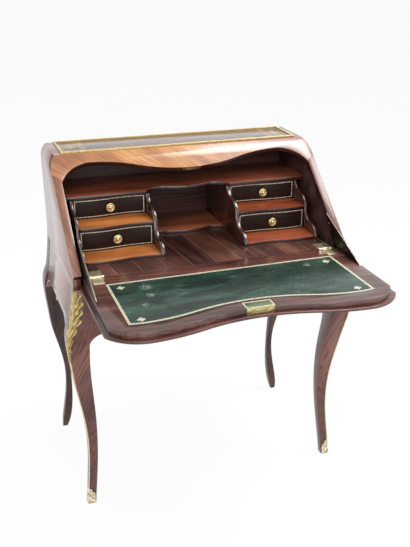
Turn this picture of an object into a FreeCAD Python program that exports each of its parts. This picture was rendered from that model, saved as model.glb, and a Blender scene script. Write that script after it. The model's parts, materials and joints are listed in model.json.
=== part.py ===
import FreeCAD, Part
import Sketcher
import math
import os

# Slant-front writing desk on four cabriole legs, shown with its fall open.
# Millimetres. X runs to the right, Y to the back, Z up; the origin lies on the
# ground below the middle of the open desk. Depths are measured forward from
# the plane of the back (d), so a point has Y = back_y - d.

doc = FreeCAD.newDocument("slant_front_desk")
sheet = doc.addObject("Spreadsheet::Sheet", "Spec")

SIZES = {
    # case
    "back_y": 376.5,
    "side_wall": 21.0,
    "waist_in": 3.0,
    "shoulder_half": 373.0,
    "crown_in": 15.0,
    "knee_out": 23.0,
    "knee_drop": 172.0,
    "waist_rise": 28.0,
    "shoulder_drop": 34.0,
    "case_rise": 244.0,
    "flare_sag": 6.5,
    "shoulder_sag": 3.9,
    "top_thick": 18.0,
    "back_thick": 12.0,
    "back_inset": 2.0,
    "front_proud": 11.0,
    "post_drop": 24.0,
    "post_run": 92.0,
    "front_post_depth": 52.0,
    "rear_post_depth": 50.0,
    "rear_leg_inset": 3.0,
    "seat_gap": 0.3,
    # front legs: outer arris and thickness from the ground to the knee
    "foot_in": 30.0,
    "foot_back": 10.0,
    "foot_size": 20.0,
    "ankle_share": 0.3,
    "ankle_in": 40.3,
    "ankle_back": 22.0,
    "ankle_size": 24.0,
    "calf_share": 0.58,
    "calf_in": 30.0,
    "calf_back": 29.0,
    "calf_size": 35.0,
    "shin_share": 0.74,
    "shin_in": 15.5,
    "shin_back": 21.0,
    "shin_size": 43.5,
    "thigh_share": 0.9,
    "thigh_in": 4.5,
    "thigh_back": 4.0,
    "thigh_size": 50.0,
    "knee_proud": 4.0,
    "knee_size": 55.0,
    # rear legs: outer face and thickness
    "rear_foot_in": 27.0,
    "rear_foot_size": 14.0,
    "rear_ankle_in": 46.0,
    "rear_ankle_size": 17.5,
    "rear_calf_in": 32.0,
    "rear_calf_size": 26.0,
    "rear_shin_in": 13.0,
    "rear_shin_size": 41.0,
    "rear_thigh_in": 4.0,
    "rear_thigh_size": 46.0,
    "rear_knee_size": 48.0,
    # slanted front
    "hinge_depth": 416.0,
    "hinge_z": 672.0,
    "slope": 40.0,
    "frame_thick": 16.0,
    "stile_foot_in": 2.0,
    "stile_width": 22.8,
    "rail_side": 85.56,
    "crest_in": 80.2,
    "rail_crest": 30.56,
    "turn_in": 130.0,
    "rail_turn": 50.86,
    "rail_dip": 71.56,
    "corner_sag": 13.5,
    "wing_sag": 5.0,
    "dip_sag": 5.2,
    # fall
    "fall_thick": 14.5,
    "fall_gap": 3.0,
    "lip_thick": 7.0,
    "lip_over": 11.0,
    "lip_gap": 0.3,
    "edge_gap": 0.8,
    "leather_in": 48.2,
    "leather_near": 51.6,
    "leather_corner_in": 49.0,
    "leather_inset": 42.0,
    "leather_thick": 1.0,
    # writing floor, aprons and bottom
    "floor_thick": 18.0,
    "apron_thick": 16.0,
    "apron_in": 15.0,
    "apron_foot_drop": 3.0,
    "apron_low_in": 32.0,
    "apron_low_rise": 21.0,
    "apron_arch_in": 177.0,
    "apron_arch_rise": 46.0,
    "apron_mid_rise": 38.0,
    "apron_foot_sag": 8.0,
    "apron_arch_sag": 6.0,
    "apron_mid_sag": 2.0,
    "scallop_foot_rise": 5.0,
    "scallop_rise": 42.0,
    "scallop_step": 9.0,
    "scallop_run": 58.0,
    "scallop_sag": 9.0,
    "bottom_drop": 112.0,
    "bottom_thick": 8.0,
    "rear_apron_thick": 18.0,
    "rear_apron_drop": 72.0,
    "rear_apron_height": 60.0,
    # interior
    "unit_inner": 112.0,
    "unit_out": 21.0,
    "inner_wall": 10.0,
    "outer_wall": 8.0,
    "ledge_thick": 8.0,
    "lower_ledge_back": 81.0,
    "upper_ledge_back": 154.0,
    "upper_ledge_rise": 74.0,
    "shelf_rise": 139.0,
    "shelf_thick": 10.0,
    "shelf_back": 226.0,
    "shelf_bay_half": 72.0,
    "shelf_bay_back": 30.0,
    "shelf_mid_back": 12.0,
    "shelf_sag": 6.0,
    "wall_setback": 6.0,
    "ogee_sag": 7.0,
    "step_drop": 14.0,
    # drawers
    "drawer_gap": 1.2,
    "drawer_lift": 0.3,
    "drawer_head": 1.2,
    "front_thick": 12.0,
    "front_wave": 4.0,
    "lower_front_back": 5.0,
    "upper_front_back": 8.0,
    "tray_wall": 6.0,
    "tray_floor": 4.0,
    "tray_drop": 8.0,
    "tray_back_gap": 8.0,
    "knob_radius": 12.0,
    "knob_stem": 4.5,
    "knob_neck": 5.0,
    "knob_length": 15.0,
    "knob_seat": 2.0,
    # hinges
    "hinge_in": 35.4,
    "hinge_length": 40.0,
    "barrel_radius": 3.0,
    "pin_radius": 1.5,
    "pin_gap": 0.05,
    "knuckle_gap": 0.4,
    "leaf_thick": 2.0,
    "floor_leaf_depth": 42.0,
    "fall_leaf_width": 28.0,
    "fall_leaf_depth": 46.0,
    # stays
    "stay_in": 7.2,
    "stay_thick": 4.0,
    "stay_reach": 140.0,
    "stay_tip_back": 68.0,
    "stay_tip_rise": 82.1,
    "stay_nose": 0.08,
    "stay_slot": 7.0,
    "stay_slot_back": 113.0,
    "stay_groove": 8.0,
    "groove_drop": 114.0,
    "rivet_back": 40.0,
    "rivet_rise": 56.5,
    "rivet_radius": 3.0,
    "rivet_proud": 2.5,
    # lock
    "lock_middle": 5.0,
    "lock_half": 35.0,
    "lock_plate": 2.5,
    "lock_depth": 32.0,
    "lock_wall": 2.0,
    "lock_height": 11.0,
    "lock_ends": 4.0,
    "lock_cover": 32.0,
    "bolt_half": 15.0,
    "bolt_length": 20.0,
    "bolt_thick": 6.0,
    "bolt_gap": 0.3,
    "bolt_sink": 0.5,
    "mortise_gap": 1.0,
    "strike_thick": 2.0,
    "strike_half": 26.0,
    "strike_width": 12.0,
    "mortise_depth": 12.0,
    "escutcheon_half": 11.0,
    "escutcheon_length": 34.0,
    "escutcheon_thick": 1.5,
    "escutcheon_inset": 14.0,
    "keyhole_radius": 2.5,
    # top dressing
    "mould_in": 19.3,
    "mould_back": 7.5,
    "mould_width": 7.5,
    "mould_height": 6.0,
    "mould_round": 2.0,
    "top_leather_thick": 1.5,
    # gilt mounts on the front legs
    "chute_drop": 4.0,
    "chute_top_width": 10.0,
    "chute_leaf_width": 23.0,
    "chute_wide": 27.0,
    "chute_knee_width": 16.0,
    "chute_tip_width": 4.0,
    "chute_proud": 3.5,
    "sabot_height": 44.0,
    "sabot_proud": 3.0,
    "sabot_short": 1.0,
    "sabot_toe": 7.0,
    "toe_sink": 1.0,
    "fillet_half": 1.3,
}


class Dim:
    """A size that carries its number together with its formula in the sheet."""

    def __init__(self, value, text):
        self.value = float(value)
        self.text = text

    def __add__(self, other):
        other = as_dim(other)
        return Dim(self.value + other.value, f"({self.text} + {other.text})")

    def __radd__(self, other):
        return as_dim(other) + self

    def __sub__(self, other):
        other = as_dim(other)
        return Dim(self.value - other.value, f"({self.text} - {other.text})")

    def __rsub__(self, other):
        return as_dim(other) - self

    def __mul__(self, other):
        other = as_dim(other)
        return Dim(self.value * other.value, f"({self.text} * {other.text})")

    def __rmul__(self, other):
        return as_dim(other) * self

    def __truediv__(self, other):
        other = as_dim(other)
        return Dim(self.value / other.value, f"({self.text} / {other.text})")

    def __neg__(self):
        return Dim(-self.value, f"(0 - {self.text})")


def as_dim(number):
    if isinstance(number, Dim):
        return number
    return Dim(number, f"({number})")


def cosine(angle):
    return Dim(math.cos(math.radians(angle.value)), f"cos({angle.text})")


def sine(angle):
    return Dim(math.sin(math.radians(angle.value)), f"sin({angle.text})")


class Spec:
    """The driving sizes, each one a named cell of the sheet."""


spec = Spec()
for row, (alias, number) in enumerate(SIZES.items(), start=1):
    sheet.set(f"A{row}", alias)
    sheet.set(f"B{row}", str(number))
    sheet.setAlias(f"B{row}", alias)
    setattr(spec, alias, Dim(number, f"Spec.{alias}"))
doc.recompute()

# Sizes that follow from the others: half-widths, heights and depths.
spec.inner_half = spec.shoulder_half - spec.side_wall
spec.waist_half = spec.shoulder_half - spec.waist_in
spec.crown_half = spec.shoulder_half - spec.crown_in
spec.knee_half = spec.shoulder_half + spec.knee_out
spec.knee_z = spec.hinge_z - spec.knee_drop
spec.waist_z = spec.hinge_z + spec.waist_rise
spec.top_z = spec.hinge_z + spec.case_rise
spec.shoulder_z = spec.top_z - spec.shoulder_drop
spec.post_top = spec.hinge_z - spec.post_drop
spec.post_foot = spec.post_top - spec.post_run
spec.front_depth = spec.hinge_depth + spec.front_proud
spec.foot_half = spec.knee_half - spec.foot_in
spec.foot_depth = spec.front_depth - spec.foot_back
spec.ankle_z = spec.knee_z * spec.ankle_share
spec.ankle_half = spec.knee_half - spec.ankle_in
spec.ankle_depth = spec.front_depth - spec.ankle_back
spec.calf_z = spec.knee_z * spec.calf_share
spec.calf_half = spec.knee_half - spec.calf_in
spec.calf_depth = spec.front_depth - spec.calf_back
spec.shin_z = spec.knee_z * spec.shin_share
spec.shin_half = spec.knee_half - spec.shin_in
spec.shin_depth = spec.front_depth - spec.shin_back
spec.thigh_z = spec.knee_z * spec.thigh_share
spec.thigh_half = spec.knee_half - spec.thigh_in
spec.thigh_depth = spec.front_depth - spec.thigh_back
spec.rear_foot_half = spec.knee_half - spec.rear_foot_in
spec.rear_ankle_half = spec.knee_half - spec.rear_ankle_in
spec.rear_calf_half = spec.knee_half - spec.rear_calf_in
spec.rear_shin_half = spec.knee_half - spec.rear_shin_in
spec.rear_thigh_half = spec.knee_half - spec.rear_thigh_in
spec.stile_foot_half = spec.shoulder_half - spec.stile_foot_in
spec.open_half = spec.shoulder_half - spec.stile_width
spec.crest_half = spec.open_half - spec.crest_in
spec.turn_half = spec.crest_half - spec.turn_in
spec.leather_half = spec.open_half - spec.leather_in
spec.apron_half = spec.inner_half - spec.apron_in
spec.apron_foot_z = spec.knee_z - spec.apron_foot_drop
spec.apron_low_half = spec.apron_half - spec.apron_low_in
spec.apron_low_z = spec.knee_z + spec.apron_low_rise
spec.apron_arch_half = spec.apron_half - spec.apron_arch_in
spec.apron_arch_z = spec.knee_z + spec.apron_arch_rise
spec.apron_mid_z = spec.knee_z + spec.apron_mid_rise
spec.scallop_foot_z = spec.knee_z + spec.scallop_foot_rise
spec.scallop_z = spec.knee_z + spec.scallop_rise
spec.bottom_z = spec.hinge_z - spec.bottom_drop
spec.rear_apron_top = spec.hinge_z - spec.rear_apron_drop
spec.rear_apron_z = spec.rear_apron_top - spec.rear_apron_height
spec.unit_outer = spec.inner_half - spec.unit_out
spec.lower_ledge_depth = spec.hinge_depth - spec.lower_ledge_back
spec.upper_ledge_depth = spec.hinge_depth - spec.upper_ledge_back
spec.shelf_depth = spec.hinge_depth - spec.shelf_back
spec.shelf_bay_depth = spec.shelf_depth - spec.shelf_bay_back
spec.shelf_mid_depth = spec.shelf_depth - spec.shelf_mid_back
spec.lower_front_depth = spec.upper_ledge_depth - spec.lower_front_back
spec.upper_front_depth = spec.shelf_depth - spec.upper_front_back
spec.hinge_middle = spec.open_half - spec.hinge_in
spec.stay_middle = spec.open_half - spec.stay_in
spec.stay_groove_z = spec.hinge_z - spec.groove_drop
spec.mould_half = spec.crown_half - spec.mould_in
spec.chute_top = spec.post_top - spec.chute_drop

parts = {}


def keep(node, obj):
    """Names a finished piece."""
    obj.Label = node
    parts[node] = obj
    return obj


def ahead(depth):
    """Y of a point that lies depth forward of the back plane."""
    return spec.back_y - depth


def box(name, xs, ys, zs):
    """A board between two X, two Y and two Z values."""
    obj = doc.addObject("Part::Box", name)
    for side, axis, (low, high) in zip(("Length", "Width", "Height"), "xyz", (xs, ys, zs)):
        low, high = as_dim(low), as_dim(high)
        obj.setExpression(side, (high - low).text)
        obj.setExpression(f"Placement.Base.{axis}", low.text)
    return obj


def cut(name, base, *tools):
    """Base with every tool taken away."""
    obj = doc.addObject("Part::Cut", name)
    obj.Base = base
    if len(tools) > 1:
        union = doc.addObject("Part::MultiFuse", f"{name}_tools")
        union.Shapes = list(tools)
        obj.Tool = union
    else:
        obj.Tool = tools[0]
    return obj


def fuse(name, *shapes):
    obj = doc.addObject("Part::MultiFuse", name)
    obj.Shapes = list(shapes)
    return obj


def common(name, first, second):
    obj = doc.addObject("Part::Common", name)
    obj.Base = first
    obj.Tool = second
    return obj


def group(name, *shapes):
    """Separate solids that share one node."""
    obj = doc.addObject("Part::Compound", name)
    obj.Links = list(shapes)
    return obj


def plane(body, role):
    return next(o for o in body.Origin.OriginFeatures if o.Role == role)


def outline(sketch, start, steps):
    """Draws a closed outline with every corner and radius driven by the sheet.

    Each step is (u, v) for a straight edge, or (u, v, sag) for an arc whose
    middle stands sag to the left of its chord.
    """
    corners = [tuple(as_dim(c) for c in start)]
    corners += [tuple(as_dim(c) for c in step[:2]) for step in steps]
    bows = [as_dim(step[2]) if len(step) > 2 else None for step in steps]
    first = sketch.GeometryCount
    count = len(steps)
    ends = []
    for index in range(count):
        tail = corners[index]
        head = corners[(index + 1) % count]
        p = FreeCAD.Vector(tail[0].value, tail[1].value, 0)
        q = FreeCAD.Vector(head[0].value, head[1].value, 0)
        if bows[index] is None:
            edge = Part.LineSegment(p, q)
            ends.append((1, 2))
        else:
            run = q - p
            left = FreeCAD.Vector(-run.y, run.x, 0).normalize()
            via = (p + q) * 0.5 + left * bows[index].value
            if bows[index].value > 0:
                edge = Part.Arc(q, via, p)
                ends.append((2, 1))
            else:
                edge = Part.Arc(p, via, q)
                ends.append((1, 2))
        sketch.addGeometry(edge, False)
    for index in range(count):
        after = (index + 1) % count
        sketch.addConstraint(
            Sketcher.Constraint(
                "Coincident", first + index, ends[index][1], first + after, ends[after][0]
            )
        )
    for index in range(count):
        tail = corners[index]
        head = corners[(index + 1) % count]
        for kind, coordinate in (("DistanceX", tail[0]), ("DistanceY", tail[1])):
            place = sketch.addConstraint(
                Sketcher.Constraint(
                    kind, -1, 1, first + index, ends[index][0], coordinate.value
                )
            )
            bind(sketch, place, f"{kind}{first + index}", coordinate)
        if bows[index] is not None:
            du = head[0] - tail[0]
            dv = head[1] - tail[1]
            sag = bows[index] if bows[index].value > 0 else -bows[index]
            radius = ((du * du + dv * dv) / 4 + sag * sag) / (2 * sag)
            place = sketch.addConstraint(
                Sketcher.Constraint("Radius", first + index, radius.value)
            )
            bind(sketch, place, f"Radius{first + index}", radius)


def bind(sketch, place, name, dim):
    sketch.renameConstraint(place, name)
    sketch.setExpression(f"Constraints.{name}", dim.text)


ROLES = {"XY": "XY_Plane", "XZ": "XZ_Plane", "YZ": "YZ_Plane"}


def sketch_on(body, name, view, offset):
    """A sketch of the body on an origin plane, moved along that plane's normal."""
    sketch = body.newObject("Sketcher::SketchObject", name)
    sketch.AttachmentSupport = [(plane(body, ROLES[view]), "")]
    sketch.MapMode = "FlatFace"
    sketch.setExpression("AttachmentOffset.Base.z", offset.text)
    return sketch


def pad(name, view, low, high, *loops):
    """A body padded from one outline, and any holes, between low and high."""
    low, high = as_dim(low), as_dim(high)
    body = doc.addObject("PartDesign::Body", name)
    sketch = sketch_on(body, f"{name}_sketch", view, -high if view == "XZ" else low)
    for start, steps in loops:
        outline(sketch, start, steps)
    feature = body.newObject("PartDesign::Pad", f"{name}_pad")
    feature.Profile = sketch
    feature.setExpression("Length", (high - low).text)
    return body


def loft(name, sections):
    """A body lofted through four-cornered sections, each (z, corners)."""
    body = doc.addObject("PartDesign::Body", name)
    drawn = []
    for index, (level, corners) in enumerate(sections):
        sketch = sketch_on(body, f"{name}_section{index}", "XY", as_dim(level))
        outline(sketch, corners[0], list(corners[1:]) + [corners[0]])
        drawn.append(sketch)
    feature = body.newObject("PartDesign::AdditiveLoft", f"{name}_loft")
    feature.Profile = drawn[0]
    feature.Sections = drawn[1:]
    return body


def tilt(obj):
    """Lays a piece drawn as (x, run, rise) into the slanted front plane."""
    obj.Placement = FreeCAD.Placement(
        FreeCAD.Vector(0, 0, 0), FreeCAD.Rotation(FreeCAD.Vector(1, 0, 0), spec.slope.value)
    )
    obj.setExpression("Placement.Rotation.Angle", spec.slope.text)
    obj.setExpression("Placement.Base.y", ahead(spec.hinge_depth).text)
    obj.setExpression("Placement.Base.z", spec.hinge_z.text)
    return obj


def mirrored(points):
    """The same outline steps on the other side of the middle, run backwards."""
    back = []
    for index in range(len(points) - 1, -1, -1):
        u, v = points[index][:2]
        step = (-as_dim(u), v)
        later = points[index + 1] if index + 1 < len(points) else None
        if later is not None and len(later) > 2:
            step = step + (later[2],)
        back.append(step)
    return back


def signed(sign, steps):
    """Outline steps put on the right (1) or the left (-1) of the middle."""
    done = []
    for step in steps:
        bow = tuple(as_dim(sag) * sign for sag in step[2:])
        done.append((as_dim(step[0]) * sign, step[1]) + bow)
    return done


def span(sign, low, high):
    """An X range on the right (1) or the left (-1), lowest first."""
    if sign > 0:
        return as_dim(low), as_dim(high)
    return -as_dim(high), -as_dim(low)


SIDES = (("left", -1), ("right", 1))

# The front frame's outer face and back face, measured up from the hinge plane.
frame_rise = spec.fall_thick - spec.lip_gap
frame_back = frame_rise - spec.frame_thick


def slant_depth(level, rise):
    """Depth at which a plane parallel to the slant reaches a height."""
    climb = level - spec.hinge_z - rise * cosine(spec.slope)
    return spec.hinge_depth + rise * sine(spec.slope) - climb * cosine(spec.slope) / sine(spec.slope)


def slant_run(level, rise):
    """Distance up the slant at which a plane parallel to it reaches a height."""
    return (level - spec.hinge_z - rise * cosine(spec.slope)) / sine(spec.slope)


# Runs up the slant to the serpentine edge of the top rail.
rail_top = slant_run(spec.top_z, frame_rise)
spec.open_side = rail_top - spec.rail_side
spec.crest_run = rail_top - spec.rail_crest
spec.turn_run = rail_top - spec.rail_turn
spec.dip_run = rail_top - spec.rail_dip
spec.leather_corner = spec.crest_run - spec.leather_corner_in


def flare(level):
    """Outer half-width of the case where it swells towards the knees."""
    share = (spec.waist_z - level) / (spec.waist_z - spec.knee_z)
    return spec.waist_half + (spec.knee_half - spec.waist_half) * share * share


# Case sides: swept in at the waist, flared to the knees, rounded at the
# shoulder, with the slanted front edge and a scalloped lower edge.
stile_foot_depth = spec.hinge_depth + frame_back * sine(spec.slope)
stile_foot_z = spec.hinge_z + frame_back * cosine(spec.slope)
front_notch = spec.front_depth - spec.front_post_depth - spec.seat_gap
rear_notch = spec.rear_leg_inset + spec.rear_post_depth + spec.seat_gap
scallop_middle = (front_notch + rear_notch) / 2
for side, sign in SIDES:
    face = pad(
        f"side_{side}_face",
        "XZ",
        ahead(spec.front_depth),
        spec.back_y,
        (
            signed(sign, [(spec.inner_half, spec.knee_z)])[0],
            signed(
                sign,
                [
                    (spec.knee_half, spec.knee_z),
                    (spec.waist_half, spec.waist_z, spec.flare_sag),
                    (spec.shoulder_half, spec.shoulder_z),
                    (spec.crown_half, spec.top_z, -spec.shoulder_sag),
                    (spec.inner_half, spec.top_z),
                    (spec.inner_half, spec.knee_z),
                ],
            ),
        ),
    )
    profile = pad(
        f"side_{side}_profile",
        "YZ",
        *span(sign, spec.inner_half - 1, spec.knee_half + 1),
        (
            (spec.back_y, spec.post_top),
            [
                (spec.back_y, spec.top_z),
                (ahead(slant_depth(spec.top_z, frame_back)), spec.top_z),
                (ahead(stile_foot_depth), stile_foot_z),
                (ahead(stile_foot_depth), spec.post_top),
                (ahead(front_notch), spec.post_top),
                (ahead(front_notch), spec.scallop_foot_z),
                (ahead(front_notch - spec.scallop_run), spec.scallop_z, spec.scallop_sag),
                (ahead(scallop_middle + spec.scallop_step), spec.scallop_z),
                (
                    ahead(scallop_middle),
                    spec.scallop_z - spec.scallop_step,
                    -spec.scallop_step / 4,
                ),
                (
                    ahead(scallop_middle - spec.scallop_step),
                    spec.scallop_z,
                    -spec.scallop_step / 4,
                ),
                (ahead(rear_notch + spec.scallop_run), spec.scallop_z),
                (ahead(rear_notch), spec.scallop_foot_z, spec.scallop_sag),
                (ahead(rear_notch), spec.post_top),
                (spec.back_y, spec.post_top),
            ],
        ),
    )
    keep(f"side_{side}", common(f"side_{side}", face, profile))


def corners(sign, outer, inner, front, back):
    """The four corners of a leg section."""
    return [
        (outer * sign, ahead(front)),
        (inner * sign, ahead(front)),
        (inner * sign, ahead(back)),
        (outer * sign, ahead(back)),
    ]


# Cabriole legs: a lofted leg below the case and a post that runs up into it.
front_back_face = spec.front_depth - spec.front_post_depth
knee_depth = spec.front_depth + spec.knee_proud
post_foot_depth = spec.front_depth + spec.knee_proud / 2
FRONT_LEG = [
    (as_dim(0), spec.foot_half, spec.foot_depth, spec.foot_size),
    (spec.ankle_z, spec.ankle_half, spec.ankle_depth, spec.ankle_size),
    (spec.calf_z, spec.calf_half, spec.calf_depth, spec.calf_size),
    (spec.shin_z, spec.shin_half, spec.shin_depth, spec.shin_size),
    (spec.thigh_z, spec.thigh_half, spec.thigh_depth, spec.thigh_size),
    (spec.knee_z, spec.knee_half, knee_depth, spec.knee_size),
]
REAR_LEG = [
    (as_dim(0), spec.rear_foot_half, spec.rear_foot_size),
    (spec.ankle_z, spec.rear_ankle_half, spec.rear_ankle_size),
    (spec.calf_z, spec.rear_calf_half, spec.rear_calf_size),
    (spec.shin_z, spec.rear_shin_half, spec.rear_shin_size),
    (spec.thigh_z, spec.rear_thigh_half, spec.rear_thigh_size),
    (spec.knee_z, spec.knee_half, spec.rear_knee_size),
]
post_levels = (spec.post_foot, (spec.post_foot + spec.post_top) / 2, spec.post_top)
knee_inner = spec.apron_half + spec.seat_gap
legs = {}
for side, sign in SIDES:
    shank = loft(
        f"front_shank_{side}",
        [
            (level, corners(sign, half, half - size, depth, depth - size))
            for level, half, depth, size in FRONT_LEG
        ]
        + [
            (
                spec.post_foot,
                corners(sign, flare(spec.post_foot), knee_inner, post_foot_depth, front_back_face),
            )
        ],
    )
    post = loft(
        f"front_post_{side}",
        [
            (
                level,
                corners(
                    sign,
                    flare(level),
                    spec.inner_half,
                    spec.front_depth
                    + spec.knee_proud / 2 * (spec.post_top - level) / (spec.post_top - spec.post_foot),
                    front_back_face,
                ),
            )
            for level in post_levels
        ],
    )
    legs[f"front_{side}"] = keep(f"leg_front_{side}", fuse(f"leg_front_{side}", shank, post))
    inset = spec.rear_leg_inset
    shank = loft(
        f"rear_shank_{side}",
        [
            (level, corners(sign, half, half - size, inset + size, inset))
            for level, half, size in REAR_LEG
        ]
        + [
            (
                spec.post_foot,
                corners(
                    sign,
                    flare(spec.post_foot),
                    knee_inner,
                    inset + spec.rear_post_depth,
                    inset,
                ),
            )
        ],
    )
    post = loft(
        f"rear_post_{side}",
        [
            (
                level,
                corners(sign, flare(level), spec.inner_half, inset + spec.rear_post_depth, inset),
            )
            for level in post_levels
        ],
    )
    keep(f"leg_rear_{side}", fuse(f"leg_rear_{side}", shank, post))

# Front apron with its serpentine lower edge, grooved behind for the stays.
front_y = ahead(spec.front_depth)
apron_back = ahead(spec.front_depth - spec.apron_thick)
stay_inner = spec.stay_middle - spec.stay_slot
knee_top = spec.post_foot + spec.seat_gap
half_apron = [
    (spec.inner_half, spec.post_top),
    (spec.inner_half, knee_top),
    (spec.apron_half, knee_top),
    (spec.apron_half, spec.apron_foot_z),
    (spec.apron_low_half, spec.apron_low_z, -spec.apron_foot_sag),
    (spec.apron_arch_half, spec.apron_arch_z, -spec.apron_arch_sag),
    (as_dim(0), spec.apron_mid_z, spec.apron_mid_sag),
]
apron_blank = pad(
    "front_apron_blank",
    "XZ",
    front_y,
    apron_back,
    (half_apron[0], half_apron[1:] + mirrored(half_apron)[1:] + [half_apron[0]]),
)
grooves = [
    box(
        f"stay_groove_{side}",
        span(sign, stay_inner, spec.inner_half),
        (ahead(spec.front_depth - spec.stay_groove), apron_back + 1),
        (spec.stay_groove_z, spec.post_top + 1),
    )
    for side, sign in SIDES
]
front_apron = keep("front_apron", cut("front_apron", apron_blank, *grooves))

# Gilt mounts of the front legs: a leaf-shaped chute over the knee, a thin
# fillet down the arris and a shoe with a scrolled toe round the foot.
CHUTE = (
    (spec.chute_top, spec.chute_top_width),
    ((spec.post_foot + spec.post_top) / 2, spec.chute_leaf_width),
    (spec.post_foot, spec.chute_wide),
    (spec.knee_z, spec.chute_knee_width),
    (spec.thigh_z, spec.chute_tip_width),
)


def arris(level):
    """Outer half-width and front depth of the knee above the thigh."""
    if level is spec.thigh_z:
        return spec.thigh_half, spec.thigh_depth
    if level is spec.knee_z:
        return spec.knee_half, knee_depth
    rise = (spec.post_top - level) / (spec.post_top - spec.post_foot)
    return flare(level), spec.front_depth + spec.knee_proud / 2 * rise


def shod(sign, half, depth, size):
    """A leg section grown on its outer and front faces only."""
    proud = spec.sabot_proud
    short = size - spec.sabot_short
    return corners(sign, half + proud, half - short, depth + proud, depth - short)


top_section = (
    spec.post_foot,
    flare(spec.post_foot),
    post_foot_depth,
    post_foot_depth - front_back_face,
)
for side, sign in SIDES:
    leg = legs[f"front_{side}"]
    wings = []
    for level, width in CHUTE:
        half, depth = arris(level)
        proud = spec.chute_proud
        wings.append(
            (
                level,
                [
                    ((half + proud) * sign, ahead(depth + proud)),
                    ((half - width) * sign, ahead(depth + proud / 3)),
                    ((half - width / 2) * sign, ahead(depth - width / 2)),
                    ((half + proud / 3) * sign, ahead(depth - width)),
                ],
            )
        )
    leaf = loft(f"chute_{side}_leaf", wings)
    keep(f"chute_{side}", cut(f"chute_{side}", leaf, leg, front_apron))
    shoe = loft(
        f"sabot_{side}_shoe",
        [
            (level, shod(sign, half, depth, size))
            for level, half, depth, size in FRONT_LEG + [top_section]
        ],
    )
    reach = spec.knee_half + spec.sabot_toe + spec.sabot_proud
    low = box(
        f"sabot_{side}_low",
        span(sign, 0, reach),
        (ahead(knee_depth + spec.sabot_toe), ahead(0)),
        (0, spec.sabot_height),
    )
    toe = doc.addObject("Part::Sphere", f"sabot_{side}_toe")
    toe.setExpression("Radius", spec.sabot_toe.text)
    toe.setExpression("Placement.Base.x", ((spec.foot_half - spec.toe_sink) * sign).text)
    toe.setExpression("Placement.Base.y", ahead(spec.foot_depth - spec.toe_sink).text)
    toe.setExpression("Placement.Base.z", (spec.sabot_toe + spec.toe_sink).text)
    shell = fuse(f"sabot_{side}_shell", common(f"sabot_{side}_cup", shoe, low), toe)
    keep(f"sabot_{side}", cut(f"sabot_{side}", shell, leg))
    bead = loft(
        f"fillet_{side}_bead",
        [
            (
                level,
                corners(
                    sign,
                    half + spec.fillet_half,
                    half - spec.fillet_half,
                    depth + spec.fillet_half,
                    depth - spec.fillet_half,
                ),
            )
            for level, half, depth, size in FRONT_LEG + [top_section]
        ],
    )
    middle = box(
        f"fillet_{side}_span",
        span(sign, 0, reach),
        (ahead(knee_depth + spec.sabot_toe), ahead(0)),
        (spec.sabot_height, spec.thigh_z),
    )
    strip = common(f"fillet_{side}_strip", bead, middle)
    keep(f"leg_fillet_{side}", cut(f"leg_fillet_{side}", strip, leg))

# Rear apron, bottom, back and top boards.
panel_front = spec.back_inset + spec.back_thick
half_rear = [
    (spec.inner_half, spec.rear_apron_top),
    (spec.inner_half, knee_top),
    (spec.apron_half, knee_top),
    (spec.apron_half, spec.rear_apron_z),
]
keep(
    "rear_apron",
    pad(
        "rear_apron",
        "XZ",
        ahead(spec.back_inset + spec.rear_apron_thick),
        ahead(spec.back_inset),
        (half_rear[0], half_rear[1:] + mirrored(half_rear) + [half_rear[0]]),
    ),
)
keep(
    "bottom_board",
    box(
        "bottom_board",
        (-spec.inner_half, spec.inner_half),
        (apron_back, ahead(spec.back_inset + spec.rear_apron_thick)),
        (spec.bottom_z, spec.bottom_z + spec.bottom_thick),
    ),
)
top_under = spec.top_z - spec.top_thick
keep(
    "back_panel",
    box(
        "back_panel",
        (-spec.inner_half, spec.inner_half),
        (ahead(panel_front), ahead(spec.back_inset)),
        (spec.rear_apron_top, top_under),
    ),
)
keep(
    "top_board",
    pad(
        "top_board",
        "YZ",
        -spec.inner_half,
        spec.inner_half,
        (
            (ahead(spec.back_inset), top_under),
            [
                (ahead(spec.back_inset), spec.top_z),
                (ahead(slant_depth(spec.top_z, frame_back)), spec.top_z),
                (ahead(slant_depth(top_under, frame_back)), top_under),
                (ahead(spec.back_inset), top_under),
            ],
        ),
    ),
)


# Slanted front frame: two stiles mitred to a top rail whose lower edge is
# serpentine, with a mortise and a strike for the lock.
def slab(name, xs, runs, rises):
    """A rectangular block drawn in the slanted front plane."""
    return tilt(
        pad(
            name,
            "XY",
            rises[0],
            rises[1],
            (
                (xs[0], runs[0]),
                [(xs[1], runs[0]), (xs[1], runs[1]), (xs[0], runs[1]), (xs[0], runs[0])],
            ),
        )
    )


mitre_run = spec.open_side + spec.shoulder_half - spec.open_half
for side, sign in SIDES:
    stile = [
        (spec.open_half, as_dim(0)),
        (spec.stile_foot_half, as_dim(0)),
        (spec.shoulder_half, mitre_run),
        (spec.open_half, spec.open_side),
    ]
    points = signed(sign, stile)
    keep(
        f"front_stile_{side}",
        tilt(
            pad(
                f"front_stile_{side}",
                "XY",
                frame_back,
                frame_rise,
                (points[0], points[1:] + [points[0]]),
            )
        ),
    )
crown_run = slant_run(spec.top_z, frame_rise)
rail_end = slant_run(spec.top_z, frame_back) + spec.frame_thick
half_rail = [
    (spec.crown_half, rail_end),
    (spec.crown_half, crown_run),
    (spec.shoulder_half, slant_run(spec.shoulder_z, frame_rise), spec.shoulder_sag),
    (spec.shoulder_half, mitre_run),
    (spec.open_half, spec.open_side),
    (spec.crest_half, spec.crest_run, -spec.corner_sag),
    (spec.turn_half, spec.turn_run, -spec.wing_sag),
    (as_dim(0), spec.dip_run, spec.dip_sag),
]
rail_blank = tilt(
    pad(
        "front_top_rail_blank",
        "XY",
        frame_back,
        frame_rise,
        (half_rail[0], half_rail[1:] + mirrored(half_rail)[1:] + [half_rail[0]]),
    )
)
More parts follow.
